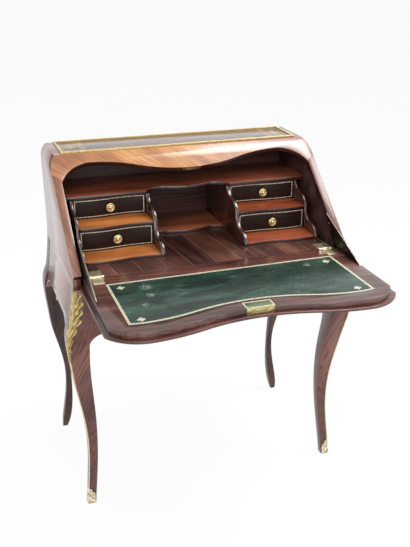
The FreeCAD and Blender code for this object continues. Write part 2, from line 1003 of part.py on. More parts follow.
rail_trim = box(
    "front_top_rail_trim",
    (-spec.knee_half, spec.knee_half),
    (ahead(spec.front_depth), spec.back_y),
    (spec.top_z, spec.top_z + spec.front_depth),
)
bolt_rise = spec.fall_thick / 2
bolt_left = spec.lock_middle - spec.bolt_half
bolt_right = spec.lock_middle + spec.bolt_half
mortise = slab(
    "bolt_mortise",
    (bolt_left - spec.mortise_gap, bolt_right + spec.mortise_gap),
    (spec.dip_run - spec.fall_gap, spec.dip_run + spec.mortise_depth),
    (
        bolt_rise - spec.bolt_thick / 2 - spec.mortise_gap,
        bolt_rise + spec.bolt_thick / 2 + spec.mortise_gap,
    ),
)
strike_face = spec.dip_run + spec.seat_gap
strike_xs = (spec.lock_middle - spec.strike_half, spec.lock_middle + spec.strike_half)
strike_rises = (bolt_rise - spec.strike_width / 2, bolt_rise + spec.strike_width / 2)
strike_bed = slab(
    "strike_bed",
    strike_xs,
    (spec.dip_run - spec.fall_gap, strike_face + spec.strike_thick),
    strike_rises,
)
strike_blank = slab(
    "strike_blank", strike_xs, (strike_face, strike_face + spec.strike_thick), strike_rises
)
keep("front_top_rail", cut("front_top_rail", rail_blank, rail_trim, mortise, strike_bed))
keep("strike_plate", cut("strike_plate", strike_blank, mortise))

# Brass hinges: barrels on the hinge line, leaves let into floor and fall.
axis_y = ahead(spec.hinge_depth)


def rod(name, xs, y, z, radius):
    """A cylinder along X."""
    obj = doc.addObject("Part::Cylinder", name)
    turn = FreeCAD.Rotation(FreeCAD.Vector(0, 1, 0), 90)
    obj.Placement = FreeCAD.Placement(FreeCAD.Vector(0, 0, 0), turn)
    obj.setExpression("Radius", radius.text)
    obj.setExpression("Height", (as_dim(xs[1]) - as_dim(xs[0])).text)
    obj.setExpression("Placement.Base.x", as_dim(xs[0]).text)
    obj.setExpression("Placement.Base.y", y.text)
    obj.setExpression("Placement.Base.z", z.text)
    return obj


barrel_room = spec.barrel_radius + spec.knuckle_gap
leaf_zs = (spec.hinge_z - spec.leaf_thick, spec.hinge_z)
floor_leaves = []
fall_leaves = []
pins = []
floor_cuts = []
fall_cuts = []
for side, sign in SIDES:
    middle = spec.hinge_middle * sign
    low = middle - spec.hinge_length / 2
    high = middle + spec.hinge_length / 2
    inner_low = middle - spec.hinge_length / 4
    inner_high = middle + spec.hinge_length / 4
    gap = spec.knuckle_gap
    leaf_back = ahead(spec.hinge_depth - spec.floor_leaf_depth)
    leaf_front = ahead(spec.hinge_depth + spec.fall_leaf_depth)
    floor_xs = (low, high)
    fall_xs = (middle - spec.fall_leaf_width / 2, middle + spec.fall_leaf_width / 2)
    bore = rod(
        f"hinge_bore_{side}", (low - 1, high + 1), axis_y, spec.hinge_z, spec.pin_radius + spec.pin_gap
    )
    floor_leaves.append(
        cut(
            f"hinge_floor_leaf_{side}",
            fuse(
                f"hinge_floor_blank_{side}",
                box(f"hinge_floor_plate_{side}", floor_xs, (axis_y, leaf_back), leaf_zs),
                rod(f"hinge_barrel_a_{side}", (low, inner_low), axis_y, spec.hinge_z, spec.barrel_radius),
                rod(f"hinge_barrel_b_{side}", (inner_high, high), axis_y, spec.hinge_z, spec.barrel_radius),
            ),
            bore,
            rod(f"hinge_room_{side}", (inner_low, inner_high), axis_y, spec.hinge_z, barrel_room),
        )
    )
    fall_leaves.append(
        cut(
            f"hinge_fall_leaf_{side}",
            fuse(
                f"hinge_fall_blank_{side}",
                box(f"hinge_fall_plate_{side}", fall_xs, (leaf_front, axis_y), leaf_zs),
                rod(
                    f"hinge_barrel_c_{side}",
                    (inner_low + gap, inner_high - gap),
                    axis_y,
                    spec.hinge_z,
                    spec.barrel_radius,
                ),
            ),
            bore,
            rod(f"hinge_room_a_{side}", (low - 1, inner_low + gap), axis_y, spec.hinge_z, barrel_room),
            rod(f"hinge_room_b_{side}", (inner_high - gap, high + 1), axis_y, spec.hinge_z, barrel_room),
        )
    )
    pins.append(rod(f"hinge_pin_{side}", (low, high), axis_y, spec.hinge_z, spec.pin_radius))
    open_zs = (leaf_zs[0], spec.hinge_z + 1)
    through_zs = (spec.hinge_z - spec.floor_thick - 1, spec.hinge_z + 1)
    notch_xs = (low - gap, high + gap)
    floor_cuts.append(box(f"floor_leaf_bed_{side}", floor_xs, (axis_y, leaf_back), open_zs))
    floor_cuts.append(
        box(f"floor_barrel_notch_{side}", notch_xs, (axis_y, axis_y + barrel_room), through_zs)
    )
    fall_cuts.append(box(f"fall_leaf_bed_{side}", fall_xs, (leaf_front, axis_y), open_zs))
    fall_cuts.append(
        box(f"fall_barrel_notch_{side}", notch_xs, (axis_y - barrel_room, axis_y), through_zs)
    )
keep("hinge_floor_leaves", group("hinge_floor_leaves", *floor_leaves))
keep("hinge_fall_leaves", group("hinge_fall_leaves", *fall_leaves))
keep("hinge_pins", group("hinge_pins", *pins))

# Writing floor inside the case, open at its front corners for the stays.
slot_y = ahead(spec.hinge_depth - spec.stay_slot_back)
half_floor = [
    (stay_inner, axis_y + spec.edge_gap),
    (stay_inner, slot_y),
    (spec.inner_half, slot_y),
    (spec.inner_half, ahead(panel_front)),
]
floor_blank = pad(
    "writing_floor_blank",
    "XY",
    spec.hinge_z - spec.floor_thick,
    spec.hinge_z,
    (half_floor[0], half_floor[1:] + mirrored(half_floor) + [half_floor[0]]),
)
keep("writing_floor", cut("writing_floor", floor_blank, *floor_cuts))

# Interior: stepped walls with ogee front edges, ledges, centre ledge, shelf.
floor_z = spec.hinge_z
inner_back = ahead(panel_front)
lower_top = floor_z + spec.ledge_thick
upper_top = floor_z + spec.upper_ledge_rise
upper_under = upper_top - spec.ledge_thick
shelf_top = floor_z + spec.shelf_rise
shelf_under = shelf_top - spec.shelf_thick
step_z = upper_top - spec.step_drop
wall_top_depth = spec.shelf_depth - spec.wall_setback
wall_outline = (
    (inner_back, floor_z),
    [
        (ahead(spec.lower_ledge_depth), floor_z),
        (ahead(spec.lower_ledge_depth), lower_top),
        (
            ahead((spec.lower_ledge_depth + spec.upper_ledge_depth) / 2),
            (lower_top + step_z) / 2,
            spec.ogee_sag,
        ),
        (ahead(spec.upper_ledge_depth), step_z, -spec.ogee_sag),
        (ahead(spec.upper_ledge_depth), upper_top),
        (
            ahead((spec.upper_ledge_depth + wall_top_depth) / 2),
            (upper_top + shelf_under) / 2,
            spec.ogee_sag,
        ),
        (ahead(wall_top_depth), shelf_under, -spec.ogee_sag),
        (inner_back, shelf_under),
        (inner_back, floor_z),
    ],
)
bay_inner = spec.unit_inner + spec.inner_wall
bay_outer = spec.unit_outer - spec.outer_wall
bay_middle = (bay_inner + bay_outer) / 2


def waved(sign, inner, outer, back, depth):
    """A board with a serpentine front: hollow inboard, swelling outboard."""
    middle = (inner + outer) / 2
    points = signed(
        sign,
        [
            (inner, back),
            (outer, back),
            (outer, ahead(depth)),
            (middle, ahead(depth), spec.front_wave),
            (inner, ahead(depth), -spec.front_wave),
            (inner, back),
        ],
    )
    return points[0], points[1:]


for side, sign in SIDES:
    keep(
        f"wall_inner_{side}",
        pad(f"wall_inner_{side}", "YZ", *span(sign, spec.unit_inner, bay_inner), wall_outline),
    )
    keep(
        f"wall_outer_{side}",
        pad(f"wall_outer_{side}", "YZ", *span(sign, bay_outer, spec.unit_outer), wall_outline),
    )
    keep(
        f"ledge_lower_{side}",
        pad(
            f"ledge_lower_{side}",
            "XY",
            floor_z,
            lower_top,
            waved(sign, bay_inner, bay_outer, inner_back, spec.lower_ledge_depth),
        ),
    )
    keep(
        f"ledge_upper_{side}",
        pad(
            f"ledge_upper_{side}",
            "XY",
            upper_under,
            upper_top,
            waved(sign, bay_inner, bay_outer, inner_back, spec.upper_ledge_depth),
        ),
    )
half_bay = [
    (spec.shelf_bay_half, ahead(spec.shelf_bay_depth), -spec.shelf_sag),
    (as_dim(0), ahead(spec.shelf_mid_depth), spec.shelf_sag / 2),
]
half_shelf = [
    (spec.inner_half, inner_back),
    (spec.inner_half, ahead(spec.shelf_depth)),
    (bay_inner, ahead(spec.shelf_depth)),
] + half_bay
keep(
    "shelf",
    pad(
        "shelf",
        "XY",
        shelf_under,
        shelf_top,
        (half_shelf[0], half_shelf[1:] + mirrored(half_shelf)[1:] + [half_shelf[0]]),
    ),
)
half_centre = [
    (spec.unit_inner, inner_back),
    (spec.unit_inner, ahead(spec.shelf_mid_depth)),
] + half_bay
keep(
    "centre_ledge",
    pad(
        "centre_ledge",
        "XY",
        floor_z,
        lower_top,
        (half_centre[0], half_centre[1:] + mirrored(half_centre)[1:] + [half_centre[0]]),
    ),
)

# Four drawers: serpentine front, open tray and a turned gilt knob, whose
# face is given as shares of its rise and of its radius.
KNOB_FACE = ((0, 1), (0.45, 0.92), (0.85, 0.6), (1, 0.25), (1, 0))
knob_rise = spec.knob_length - spec.knob_neck
LEVELS = (
    ("lower", lower_top, upper_under, spec.lower_front_depth),
    ("upper", upper_top, shelf_under, spec.upper_front_depth),
)
tray_inner = bay_inner + spec.drawer_gap
tray_outer = bay_outer - spec.drawer_gap
for level, bed, ceiling, front_at in LEVELS:
    low_z = bed + spec.drawer_lift
    high_z = ceiling - spec.drawer_head
    knob_z = (low_z + high_z) / 2
    board_back = ahead(front_at - spec.front_thick)
    for side, sign in SIDES:
        name = f"drawer_{level}_{side}"
        board = pad(
            f"{name}_board", "XY", low_z, high_z, waved(sign, tray_inner, tray_outer, board_back, front_at)
        )
        socket = doc.addObject("Part::Cylinder", f"{name}_socket")
        turn = FreeCAD.Rotation(FreeCAD.Vector(1, 0, 0), 90)
        socket.Placement = FreeCAD.Placement(FreeCAD.Vector(0, 0, 0), turn)
        socket.setExpression("Radius", spec.knob_stem.text)
        socket.setExpression("Height", spec.front_thick.text)
        socket.setExpression("Placement.Base.x", (bay_middle * sign).text)
        socket.setExpression("Placement.Base.y", ahead(front_at - spec.knob_seat).text)
        socket.setExpression("Placement.Base.z", knob_z.text)
        keep(f"{name}_front", cut(f"{name}_front", board, socket))
        tray_back = inner_back - spec.tray_back_gap
        tray = box(
            f"{name}_block",
            span(sign, tray_inner, tray_outer),
            (board_back, tray_back),
            (low_z, high_z - spec.tray_drop),
        )
        hollow = box(
            f"{name}_hollow",
            span(sign, tray_inner + spec.tray_wall, tray_outer - spec.tray_wall),
            (board_back - 1, tray_back - spec.tray_wall),
            (low_z + spec.tray_floor, high_z),
        )
        keep(f"{name}_tray", cut(f"{name}_tray", tray, hollow))
        knob = doc.addObject("PartDesign::Body", f"{name}_knob")
        profile = sketch_on(knob, f"{name}_knob_profile", "YZ", as_dim(0))
        outline(
            profile,
            (spec.knob_seat, as_dim(0)),
            [
                (spec.knob_seat, spec.knob_stem),
                (-spec.knob_neck, spec.knob_stem),
                *(
                    (-spec.knob_neck - knob_rise * along, spec.knob_radius * across)
                    for along, across in KNOB_FACE
                ),
                (spec.knob_seat, as_dim(0)),
            ],
        )
        turned = knob.newObject("PartDesign::Revolution", f"{name}_knob_turned")
        turned.Profile = profile
        turned.ReferenceAxis = (profile, ["H_Axis"])
        turned.Angle = 360
        knob.setExpression("Placement.Base.x", (bay_middle * sign).text)
        knob.setExpression("Placement.Base.y", ahead(front_at).text)
        knob.setExpression("Placement.Base.z", knob_z.text)
        keep(f"{name}_knob", knob)

# Fall: an inner board that fills the opening and an outer board whose lip
# laps over the frame, both with the serpentine edge of the top rail.
fall_half = spec.open_half - spec.fall_gap


def fall_edge(grow):
    """Right half of the fall's outline, hinge side first, grown by a lip."""

    def at(run):
        return ahead(spec.hinge_depth + run - spec.fall_gap + grow)

    return [
        (fall_half + grow, axis_y - spec.edge_gap),
        (fall_half + grow, at(spec.open_side)),
        (spec.crest_half, at(spec.crest_run), spec.corner_sag),
        (spec.turn_half, at(spec.turn_run), spec.wing_sag),
        (as_dim(0), at(spec.dip_run), -spec.dip_sag),
    ]


def whole(half):
    return half[0], half[1:] + mirrored(half)[1:] + [half[0]]


fall_under = spec.hinge_z - spec.fall_thick
lip_under = fall_under - spec.lip_thick
fall_blank = pad("fall_board_blank", "XY", fall_under, spec.hinge_z, whole(fall_edge(as_dim(0))))
keep("fall_lip", pad("fall_lip", "XY", lip_under, fall_under, whole(fall_edge(spec.lip_over))))


def leather_at(run):
    return ahead(spec.hinge_depth + run - spec.fall_gap - spec.leather_inset)


half_leather = [
    (spec.leather_half, ahead(spec.hinge_depth + spec.leather_near)),
    (spec.leather_half, ahead(spec.hinge_depth + spec.leather_corner)),
    (spec.crest_half, leather_at(spec.crest_run)),
    (spec.turn_half, leather_at(spec.turn_run), spec.wing_sag),
    (as_dim(0), leather_at(spec.dip_run), -spec.dip_sag),
]
leather_under = spec.hinge_z - spec.leather_thick
keep("fall_leather", pad("fall_leather", "XY", leather_under, spec.hinge_z, whole(half_leather)))
leather_bed = pad("leather_bed", "XY", leather_under, spec.hinge_z + 1, whole(half_leather))

# Lock let into the front edge of the fall: case, edge plate, bolt, cover.
edge_run = spec.dip_run - spec.fall_gap
plate_run = edge_run - spec.lock_plate


def lock_y(near, far):
    """A Y range between two runs out from the hinge line."""
    return ahead(spec.hinge_depth + far), ahead(spec.hinge_depth + near)


lock_left = spec.lock_middle - spec.lock_half
lock_right = spec.lock_middle + spec.lock_half
case_xs = (lock_left + spec.lock_ends, lock_right - spec.lock_ends)
case_zs = (leather_under - spec.lock_height, leather_under)
bolt_z = spec.hinge_z - bolt_rise
bolt_room = spec.bolt_thick / 2 + spec.bolt_gap
plate_bed = box(
    "lock_plate_bed",
    (lock_left, lock_right),
    lock_y(plate_run, edge_run + spec.lip_over),
    (fall_under - 1, spec.hinge_z + 1),
)
case_ys = lock_y(plate_run - spec.lock_depth, plate_run)
case_bed = box("lock_case_bed", case_xs, case_ys, (case_zs[0], spec.hinge_z))
cover_ys = lock_y(plate_run - spec.lock_cover, plate_run)
cover_bed = box("lock_cover_bed", (lock_left, lock_right), cover_ys, (leather_under, spec.hinge_z + 1))
keep(
    "fall_board",
    cut("fall_board", fall_blank, leather_bed, plate_bed, case_bed, cover_bed, *fall_cuts),
)
keep("lock_cover", box("lock_cover", (lock_left, lock_right), cover_ys, (leather_under, spec.hinge_z)))
bolt_way = box(
    "lock_bolt_way",
    (bolt_left - spec.bolt_gap, bolt_right + spec.bolt_gap),
    lock_y(plate_run - spec.lock_depth + spec.lock_wall, edge_run + 1),
    (bolt_z - bolt_room, bolt_z + bolt_room),
)
keep("lock_case", cut("lock_case", box("lock_case_block", case_xs, case_ys, case_zs), bolt_way))
plate_block = box(
    "lock_plate_block",
    (lock_left, lock_right),
    lock_y(plate_run, edge_run),
    (fall_under, spec.hinge_z),
)
keep("lock_plate", cut("lock_plate", plate_block, bolt_way))
bolt_nose = edge_run - spec.bolt_sink
keep(
    "lock_bolt",
    box(
        "lock_bolt",
        (bolt_left, bolt_right),
        lock_y(bolt_nose - spec.bolt_length, bolt_nose),
        (bolt_z - spec.bolt_thick / 2, bolt_z + spec.bolt_thick / 2),
    ),
)

# Keyhole escutcheon on the outer face of the fall.
shield_far = edge_run + spec.lip_over - spec.escutcheon_inset
shield_near = shield_far - spec.escutcheon_length
shield_left = spec.lock_middle - spec.escutcheon_half
shield_right = spec.lock_middle + spec.escutcheon_half
shield_bow = spec.escutcheon_half / 2
shield = pad(
    "escutcheon_blank",
    "XY",
    lip_under - spec.escutcheon_thick,
    lip_under,
    (
        (shield_left, ahead(spec.hinge_depth + shield_near)),
        [
            (shield_left, ahead(spec.hinge_depth + shield_far)),
            (shield_right, ahead(spec.hinge_depth + shield_far), -shield_bow),
            (shield_right, ahead(spec.hinge_depth + shield_near)),
            (shield_left, ahead(spec.hinge_depth + shield_near), -shield_bow),
        ],
    ),
)
keyhole = doc.addObject("Part::Cylinder", "keyhole")
keyhole.setExpression("Radius", spec.keyhole_radius.text)
keyhole.setExpression("Height", (spec.escutcheon_thick * 3).text)
keyhole.setExpression("Placement.Base.x", spec.lock_middle.text)
keyhole.setExpression("Placement.Base.y", ahead(spec.hinge_depth + (shield_near + shield_far) / 2).text)
keyhole.setExpression("Placement.Base.z", (lip_under - spec.escutcheon_thick * 2).text)
keep("escutcheon", cut("escutcheon", shield, keyhole))

# Iron stays: plates that stand on the fall and swing down through the floor.
tip_y = axis_y + spec.stay_tip_back
tip_z = spec.hinge_z + spec.stay_tip_rise
heel_y = axis_y - spec.stay_reach
nose_low_y = axis_y + spec.stay_tip_back * (1 - spec.stay_nose)
nose_low_z = spec.hinge_z + spec.stay_tip_rise * (1 - spec.stay_nose)
nose_top_y = tip_y + (heel_y - tip_y) * spec.stay_nose / 2
nose_top_z = tip_z + (spec.hinge_z - tip_z) * spec.stay_nose / 2
for side, sign in SIDES:
    inner_face = spec.stay_middle - spec.stay_thick / 2
    plate = pad(
        f"stay_{side}_plate",
        "YZ",
        *span(sign, inner_face, spec.stay_middle + spec.stay_thick / 2),
        (
            (heel_y, spec.hinge_z),
            [
                (axis_y, spec.hinge_z),
                (nose_low_y, nose_low_z),
                (nose_top_y, nose_top_z),
                (heel_y, spec.hinge_z),
            ],
        ),
    )
    rivet = rod(
        f"stay_{side}_rivet",
        span(sign, inner_face - spec.rivet_proud, spec.stay_middle),
        axis_y + spec.rivet_back,
        spec.hinge_z + spec.rivet_rise,
        spec.rivet_radius,
    )
    keep(f"stay_{side}", fuse(f"stay_{side}", plate, rivet))

# Top dressing: a leather panel framed by a gilt moulding.
mould_front = slant_depth(spec.top_z + spec.mould_height, frame_rise)
inside = spec.mould_half - spec.mould_width


def ring(half, front, back):
    points = [
        (half, ahead(back)),
        (-half, ahead(back)),
        (-half, ahead(front)),
        (half, ahead(front)),
    ]
    return points[0], points[1:] + [points[0]]


frame_body = pad(
    "top_moulding",
    "XY",
    spec.top_z,
    spec.top_z + spec.mould_height,
    ring(spec.mould_half, mould_front, spec.mould_back),
    ring(inside, mould_front - spec.mould_width, spec.mould_back + spec.mould_width),
)
doc.recompute()
frame_pad = frame_body.Tip
crown_z = (spec.top_z + spec.mould_height).value
crown = [
    f"Face{index}"
    for index, face in enumerate(frame_pad.Shape.Faces, start=1)
    if abs(face.CenterOfMass.z - crown_z) < 0.01
]
soften = frame_body.newObject("PartDesign::Chamfer", "top_moulding_soften")
soften.Base = (frame_pad, crown)
soften.setExpression("Size", spec.mould_round.text)
keep("top_moulding", frame_body)
keep(
    "top_leather",
    box(
        "top_leather",
        (-inside, inside),
        (ahead(mould_front - spec.mould_width), ahead(spec.mould_back + spec.mould_width)),
        (spec.top_z, spec.top_z + spec.top_leather_thick),
    ),
)

doc.recompute()
for obj in doc.Objects:
    if "Invalid" in obj.State or "Error" in obj.State:
        raise RuntimeError(f"{obj.Name} did not build: {obj.State}")
os.makedirs("parts", exist_ok=True)
for node, obj in parts.items():
    shape = obj.Shape
    if shape.isNull() or not shape.isValid() or not shape.Solids:
        raise RuntimeError(f"{node} has no valid solid")
    shape.exportStep(os.path.join("parts", f"{node}.step"))
    print(node, len(shape.Solids), round(shape.Volume / 1000, 1))
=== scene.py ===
import json
import logging
import math
from contextlib import contextmanager
from dataclasses import dataclass
from enum import Enum
from typing import Callable, Iterator, Sequence

import bpy
from bpy.types import Material, Node, NodeSocket, NodeTree, Object
from mathutils import Matrix, Vector
from mathutils.bvhtree import BVHTree

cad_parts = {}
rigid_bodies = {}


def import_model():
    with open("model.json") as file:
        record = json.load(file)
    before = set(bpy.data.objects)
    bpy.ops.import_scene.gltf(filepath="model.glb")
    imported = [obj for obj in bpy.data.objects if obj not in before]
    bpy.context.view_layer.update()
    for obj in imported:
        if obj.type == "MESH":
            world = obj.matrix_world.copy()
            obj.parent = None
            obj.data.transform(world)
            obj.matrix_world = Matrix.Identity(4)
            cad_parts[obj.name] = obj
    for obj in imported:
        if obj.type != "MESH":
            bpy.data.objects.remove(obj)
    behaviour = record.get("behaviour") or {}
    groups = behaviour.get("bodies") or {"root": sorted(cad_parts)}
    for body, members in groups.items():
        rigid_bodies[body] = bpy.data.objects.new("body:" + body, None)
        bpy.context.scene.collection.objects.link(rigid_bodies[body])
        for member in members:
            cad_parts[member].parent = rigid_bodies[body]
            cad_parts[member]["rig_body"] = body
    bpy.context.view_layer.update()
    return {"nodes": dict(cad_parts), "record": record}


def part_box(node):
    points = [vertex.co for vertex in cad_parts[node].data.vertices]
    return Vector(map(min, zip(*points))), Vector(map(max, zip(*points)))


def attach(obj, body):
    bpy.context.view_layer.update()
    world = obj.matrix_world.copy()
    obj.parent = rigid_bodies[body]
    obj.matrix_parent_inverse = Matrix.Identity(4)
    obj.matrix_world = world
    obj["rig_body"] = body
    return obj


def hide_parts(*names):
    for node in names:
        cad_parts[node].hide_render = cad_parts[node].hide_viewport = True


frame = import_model()
SLOTS = {part["node"]: part["material_slot"] for part in frame["record"]["subparts"]}
log = logging.getLogger("writing_desk")

MM = 0.001
# The writing surface is level with the top of its leather.
WRITING_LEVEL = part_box("fall_leather")[1].z
# Slope of the front frame in degrees.
FRONT_SLOPE = 40.0
# Settings of a Mix node that lays one colour over another, and of one that multiplies them.
BLEND = {"data_type": "RGBA"}
MULTIPLY = {"data_type": "RGBA", "blend_type": "MULTIPLY"}

Point = tuple[float, float]
Colour = tuple[float, float, float, float]
# Gives a point's place and the height of its chasing from where it lies across and along a casting.
Chasing = Callable[[float, float], tuple[Vector, float]]


class Body(Enum):
    """The rigid bodies of the desk that new pieces ride on."""

    CARCASS = "carcass"
    FALL = "fall"


class Side(Enum):
    """Left and right of the person who writes, as the sign of X."""

    LEFT = -1
    RIGHT = 1

    @property
    def word(self) -> str:
        """The side's name as it stands in node names."""
        return self.name.lower()


class Axis(Enum):
    """The desk's axes: to the right, to the back and up."""

    X = 0
    Y = 1
    Z = 2


class Pick(Enum):
    """What edit mode selects, in Blender's words."""

    CORNERS = "VERT"
    EDGES = "EDGE"
    FACES = "FACE"


DRAWERS = [f"drawer_{level}_{side.word}" for level in ("lower", "upper") for side in Side]


def clamp(value: float, low: float = 0.0, high: float = 1.0) -> float:
    """Keeps a value between two limits."""
    return max(low, min(high, value))


def gentle(share: float) -> float:
    """Turns a share from 0 to 1 into one that starts and ends slowly."""
    return share * share * (3 - 2 * share)


def linear(code: str) -> Colour:
    """Turns an sRGB hex colour into linear light.

    Args:
        code: Colour as #rrggbb.

    Returns:
        Red, green, blue and an alpha of one.
    """
    shares = [int(code[place : place + 2], 16) / 255 for place in (1, 3, 5)]
    light = [s / 12.92 if s <= 0.04045 else ((s + 0.055) / 1.055) ** 2.4 for s in shares]
    return (light[0], light[1], light[2], 1.0)


def feed(node: Node, inputs: dict[str | int, object]) -> None:
    """Feeds the inputs of a node.

    Args:
        node: The node.
        inputs: Input name or index to the socket that is linked to it, or to its constant.
    """
    for key, value in inputs.items():
        if isinstance(value, NodeSocket):
            node.id_data.links.new(value, node.inputs[key])
        else:
            node.inputs[key].default_value = value


def add_node(
    tree: NodeTree,
    kind: str,
    output: str | int,
    inputs: dict[str | int, object] | None = None,
    stops: Sequence[tuple[float, str]] = (),
    **settings: object,
) -> NodeSocket:
    """Adds one shader node.

    Args:
        tree: Node tree of the material.
        kind: Blender's name of the node type, which follows the word ShaderNode.
        output: Name or index of the output that is wanted.
        inputs: Input name or index to the socket or the constant that feeds it.
        stops: Places from 0 to 1 with hex colours, for a node that has a colour ramp.
        **settings: Attributes of the node.

    Returns:
        That output.
    """
    node = tree.nodes.new(f"ShaderNode{kind}")
    for key, value in settings.items():
        setattr(node, key, value)
    feed(node, inputs or {})
    if stops:
        elements = node.color_ramp.elements
        while len(elements) < len(stops):
            elements.new(1.0)
        for element, (place, code) in zip(elements, stops):
            element.position = place
            element.color = linear(code)
    return node.outputs[output]


def new_material(name: str) -> tuple[Material, NodeTree, Node]:
    """Starts a material.

    Args:
        name: Name of the real material.

    Returns:
        The material, its node tree and its shader node.
    """
    material = bpy.data.materials.new(name)
    material.use_nodes = True
    tree = material.node_tree
    return material, tree, tree.nodes["Principled BSDF"]


@dataclass(frozen=True)
class Tint:
    """A slow change of colour along one axis; here mostly painted light and shade."""

    colour: str
    axis: Axis
    start_mm: float
    end_mm: float


@dataclass(frozen=True)
class Veneer:
    """Sawn hardwood veneer under a French polish.

    The eye sees fine straight lines in a warm ground that drifts from dark to
    light, with pores along the grain, under a clear sharp reflection. Real lines,
    pores and joints are a few tenths of a millimetre wide and would not show, so
    they are drawn as coarse as they need to be.

    Attributes:
        turn: Turn of the grain in degrees; without it the grain runs along X.
        figure_mm: Width of the drifts from dark to light.
        streak_mm: Width of the lines.
        pore_mm: Width of the pores.
        strip_mm: Width of the strips it is laid in, or nought for one sheet.
        joint_mm: Half the width of the joint between two strips.
        tints: Changes of colour along the desk, most of them painted light and shade.
    """

    name: str
    dark: str
    mid: str
    light: str
    turn: tuple[float, float, float] = (0.0, 0.0, 0.0)
    figure_mm: float = 60.0
    streak_mm: float = 3.4
    pore_mm: float = 1.1
    line: str = "#b9a79c"
    pore: str = "#dccfc8"
    rough: float = 0.3
    coat: float = 0.6
    coat_rough: float = 0.1
    specular: float = 0.5
    strip_mm: float = 0.0
    joint_mm: float = 1.3
    joint: str = "#a08066"
    tints: tuple[Tint, ...] = ()

    def material(self) -> Material:
        """Builds the material on object coordinates.

        Returns:
            The material.
        """
        material, tree, shader = new_material(self.name)
        place = add_node(tree, "TexCoord", "Object")
        turn = tuple(math.radians(angle) for angle in self.turn)
        turned = add_node(tree, "Mapping", "Vector", {"Rotation": turn, "Vector": place})
        # Figure, lines and pores: one noise at three sizes, stretched along the grain.
        layers = []
        for size_mm, stretch, detail in (
            (self.figure_mm, 5, 3),
            (self.streak_mm, 45, 2),
            (self.pore_mm, 30, 1),
        ):
            drawn = add_node(tree, "Mapping", "Vector", {"Scale": (1 / stretch, 1, 1), "Vector": turned})
            noise = {"Scale": 1 / (size_mm * MM), "Detail": detail, "Distortion": 0.3, "Vector": drawn}
            layers.append(add_node(tree, "TexNoise", 0, noise))
        figure, streaks, pores = layers
        ground = [(0.3, self.dark), (0.5, self.mid), (0.72, self.light)]
        colour = add_node(tree, "ValToRGB", "Color", {"Fac": figure}, ground)
        for layer, stops in (
            (streaks, [(0.36, self.line), (0.58, "#ffffff")]),
            (pores, [(0.3, self.pore), (0.6, "#ffffff")]),
        ):
            tone = add_node(tree, "ValToRGB", "Color", {"Fac": layer}, stops)
            colour = add_node(tree, "Mix", "Result", {"Factor": 1.0, "A": colour, "B": tone}, **MULTIPLY)
        if self.strip_mm:
            colour = self.strips(tree, turned, colour)
        for tint in self.tints:
            along = add_node(tree, "SeparateXYZ", tint.axis.name, {"Vector": place})
            span = {"From Min": tint.start_mm * MM, "From Max": tint.end_mm * MM, "Value": along}
            share = add_node(tree, "MapRange", "Result", span)
            mix = {"Factor": share, "A": colour, "B": linear(tint.colour)}
            colour = add_node(tree, "Mix", "Result", mix, **MULTIPLY)
        worn = {"From Min": 0.3, "From Max": 0.7, "To Min": self.rough - 0.05, "To Max": self.rough + 0.08}
        relief = {"Strength": 0.1, "Distance": 0.12 * MM, "Height": pores}
        finish = {
            "Base Color": colour,
            "Roughness": add_node(tree, "MapRange", "Result", worn | {"Value": figure}),
            "Normal": add_node(tree, "Bump", "Normal", relief),
            "Coat Weight": self.coat,
            "Coat Roughness": self.coat_rough,
            "Specular IOR Level": self.specular,
        }
        feed(shader, finish)
        return material

    def strips(self, tree: NodeTree, turned: NodeSocket, colour: NodeSocket) -> NodeSocket:
        """Sets strips of veneer side by side, each of its own tone, with pale joints.

        Args:
            tree: Node tree of the material.
            turned: Coordinates with the grain along X.
            colour: Colour of the wood.

        Returns:
            The colour with its strips and joints.
        """
        width = self.strip_mm * MM
        across = add_node(tree, "SeparateXYZ", "Y", {"Vector": turned})
        count = add_node(tree, "Math", "Value", {0: across, 1: width}, operation="DIVIDE")
        whole = add_node(tree, "Math", "Value", {0: count}, operation="FLOOR")
        chance = add_node(tree, "TexWhiteNoise", "Value", {"W": whole}, noise_dimensions="1D")
        tone = add_node(tree, "MapRange", "Result", {"To Min": 0.66, "To Max": 1.08, "Value": chance})
        colour = add_node(tree, "Mix", "Result", {"Factor": 1.0, "A": colour, "B": tone}, **MULTIPLY)
        off = add_node(tree, "Math", "Value", {0: across, 1: width / 2}, operation="PINGPONG")
        fade = {"From Min": 0.0, "From Max": self.joint_mm * MM, "To Min": 0.7, "To Max": 0.0, "Value": off}
        line = add_node(tree, "MapRange", "Result", fade)
        mix = {"Factor": line, "A": colour, "B": linear(self.joint)}
        return add_node(tree, "Mix", "Result", mix, **BLEND)


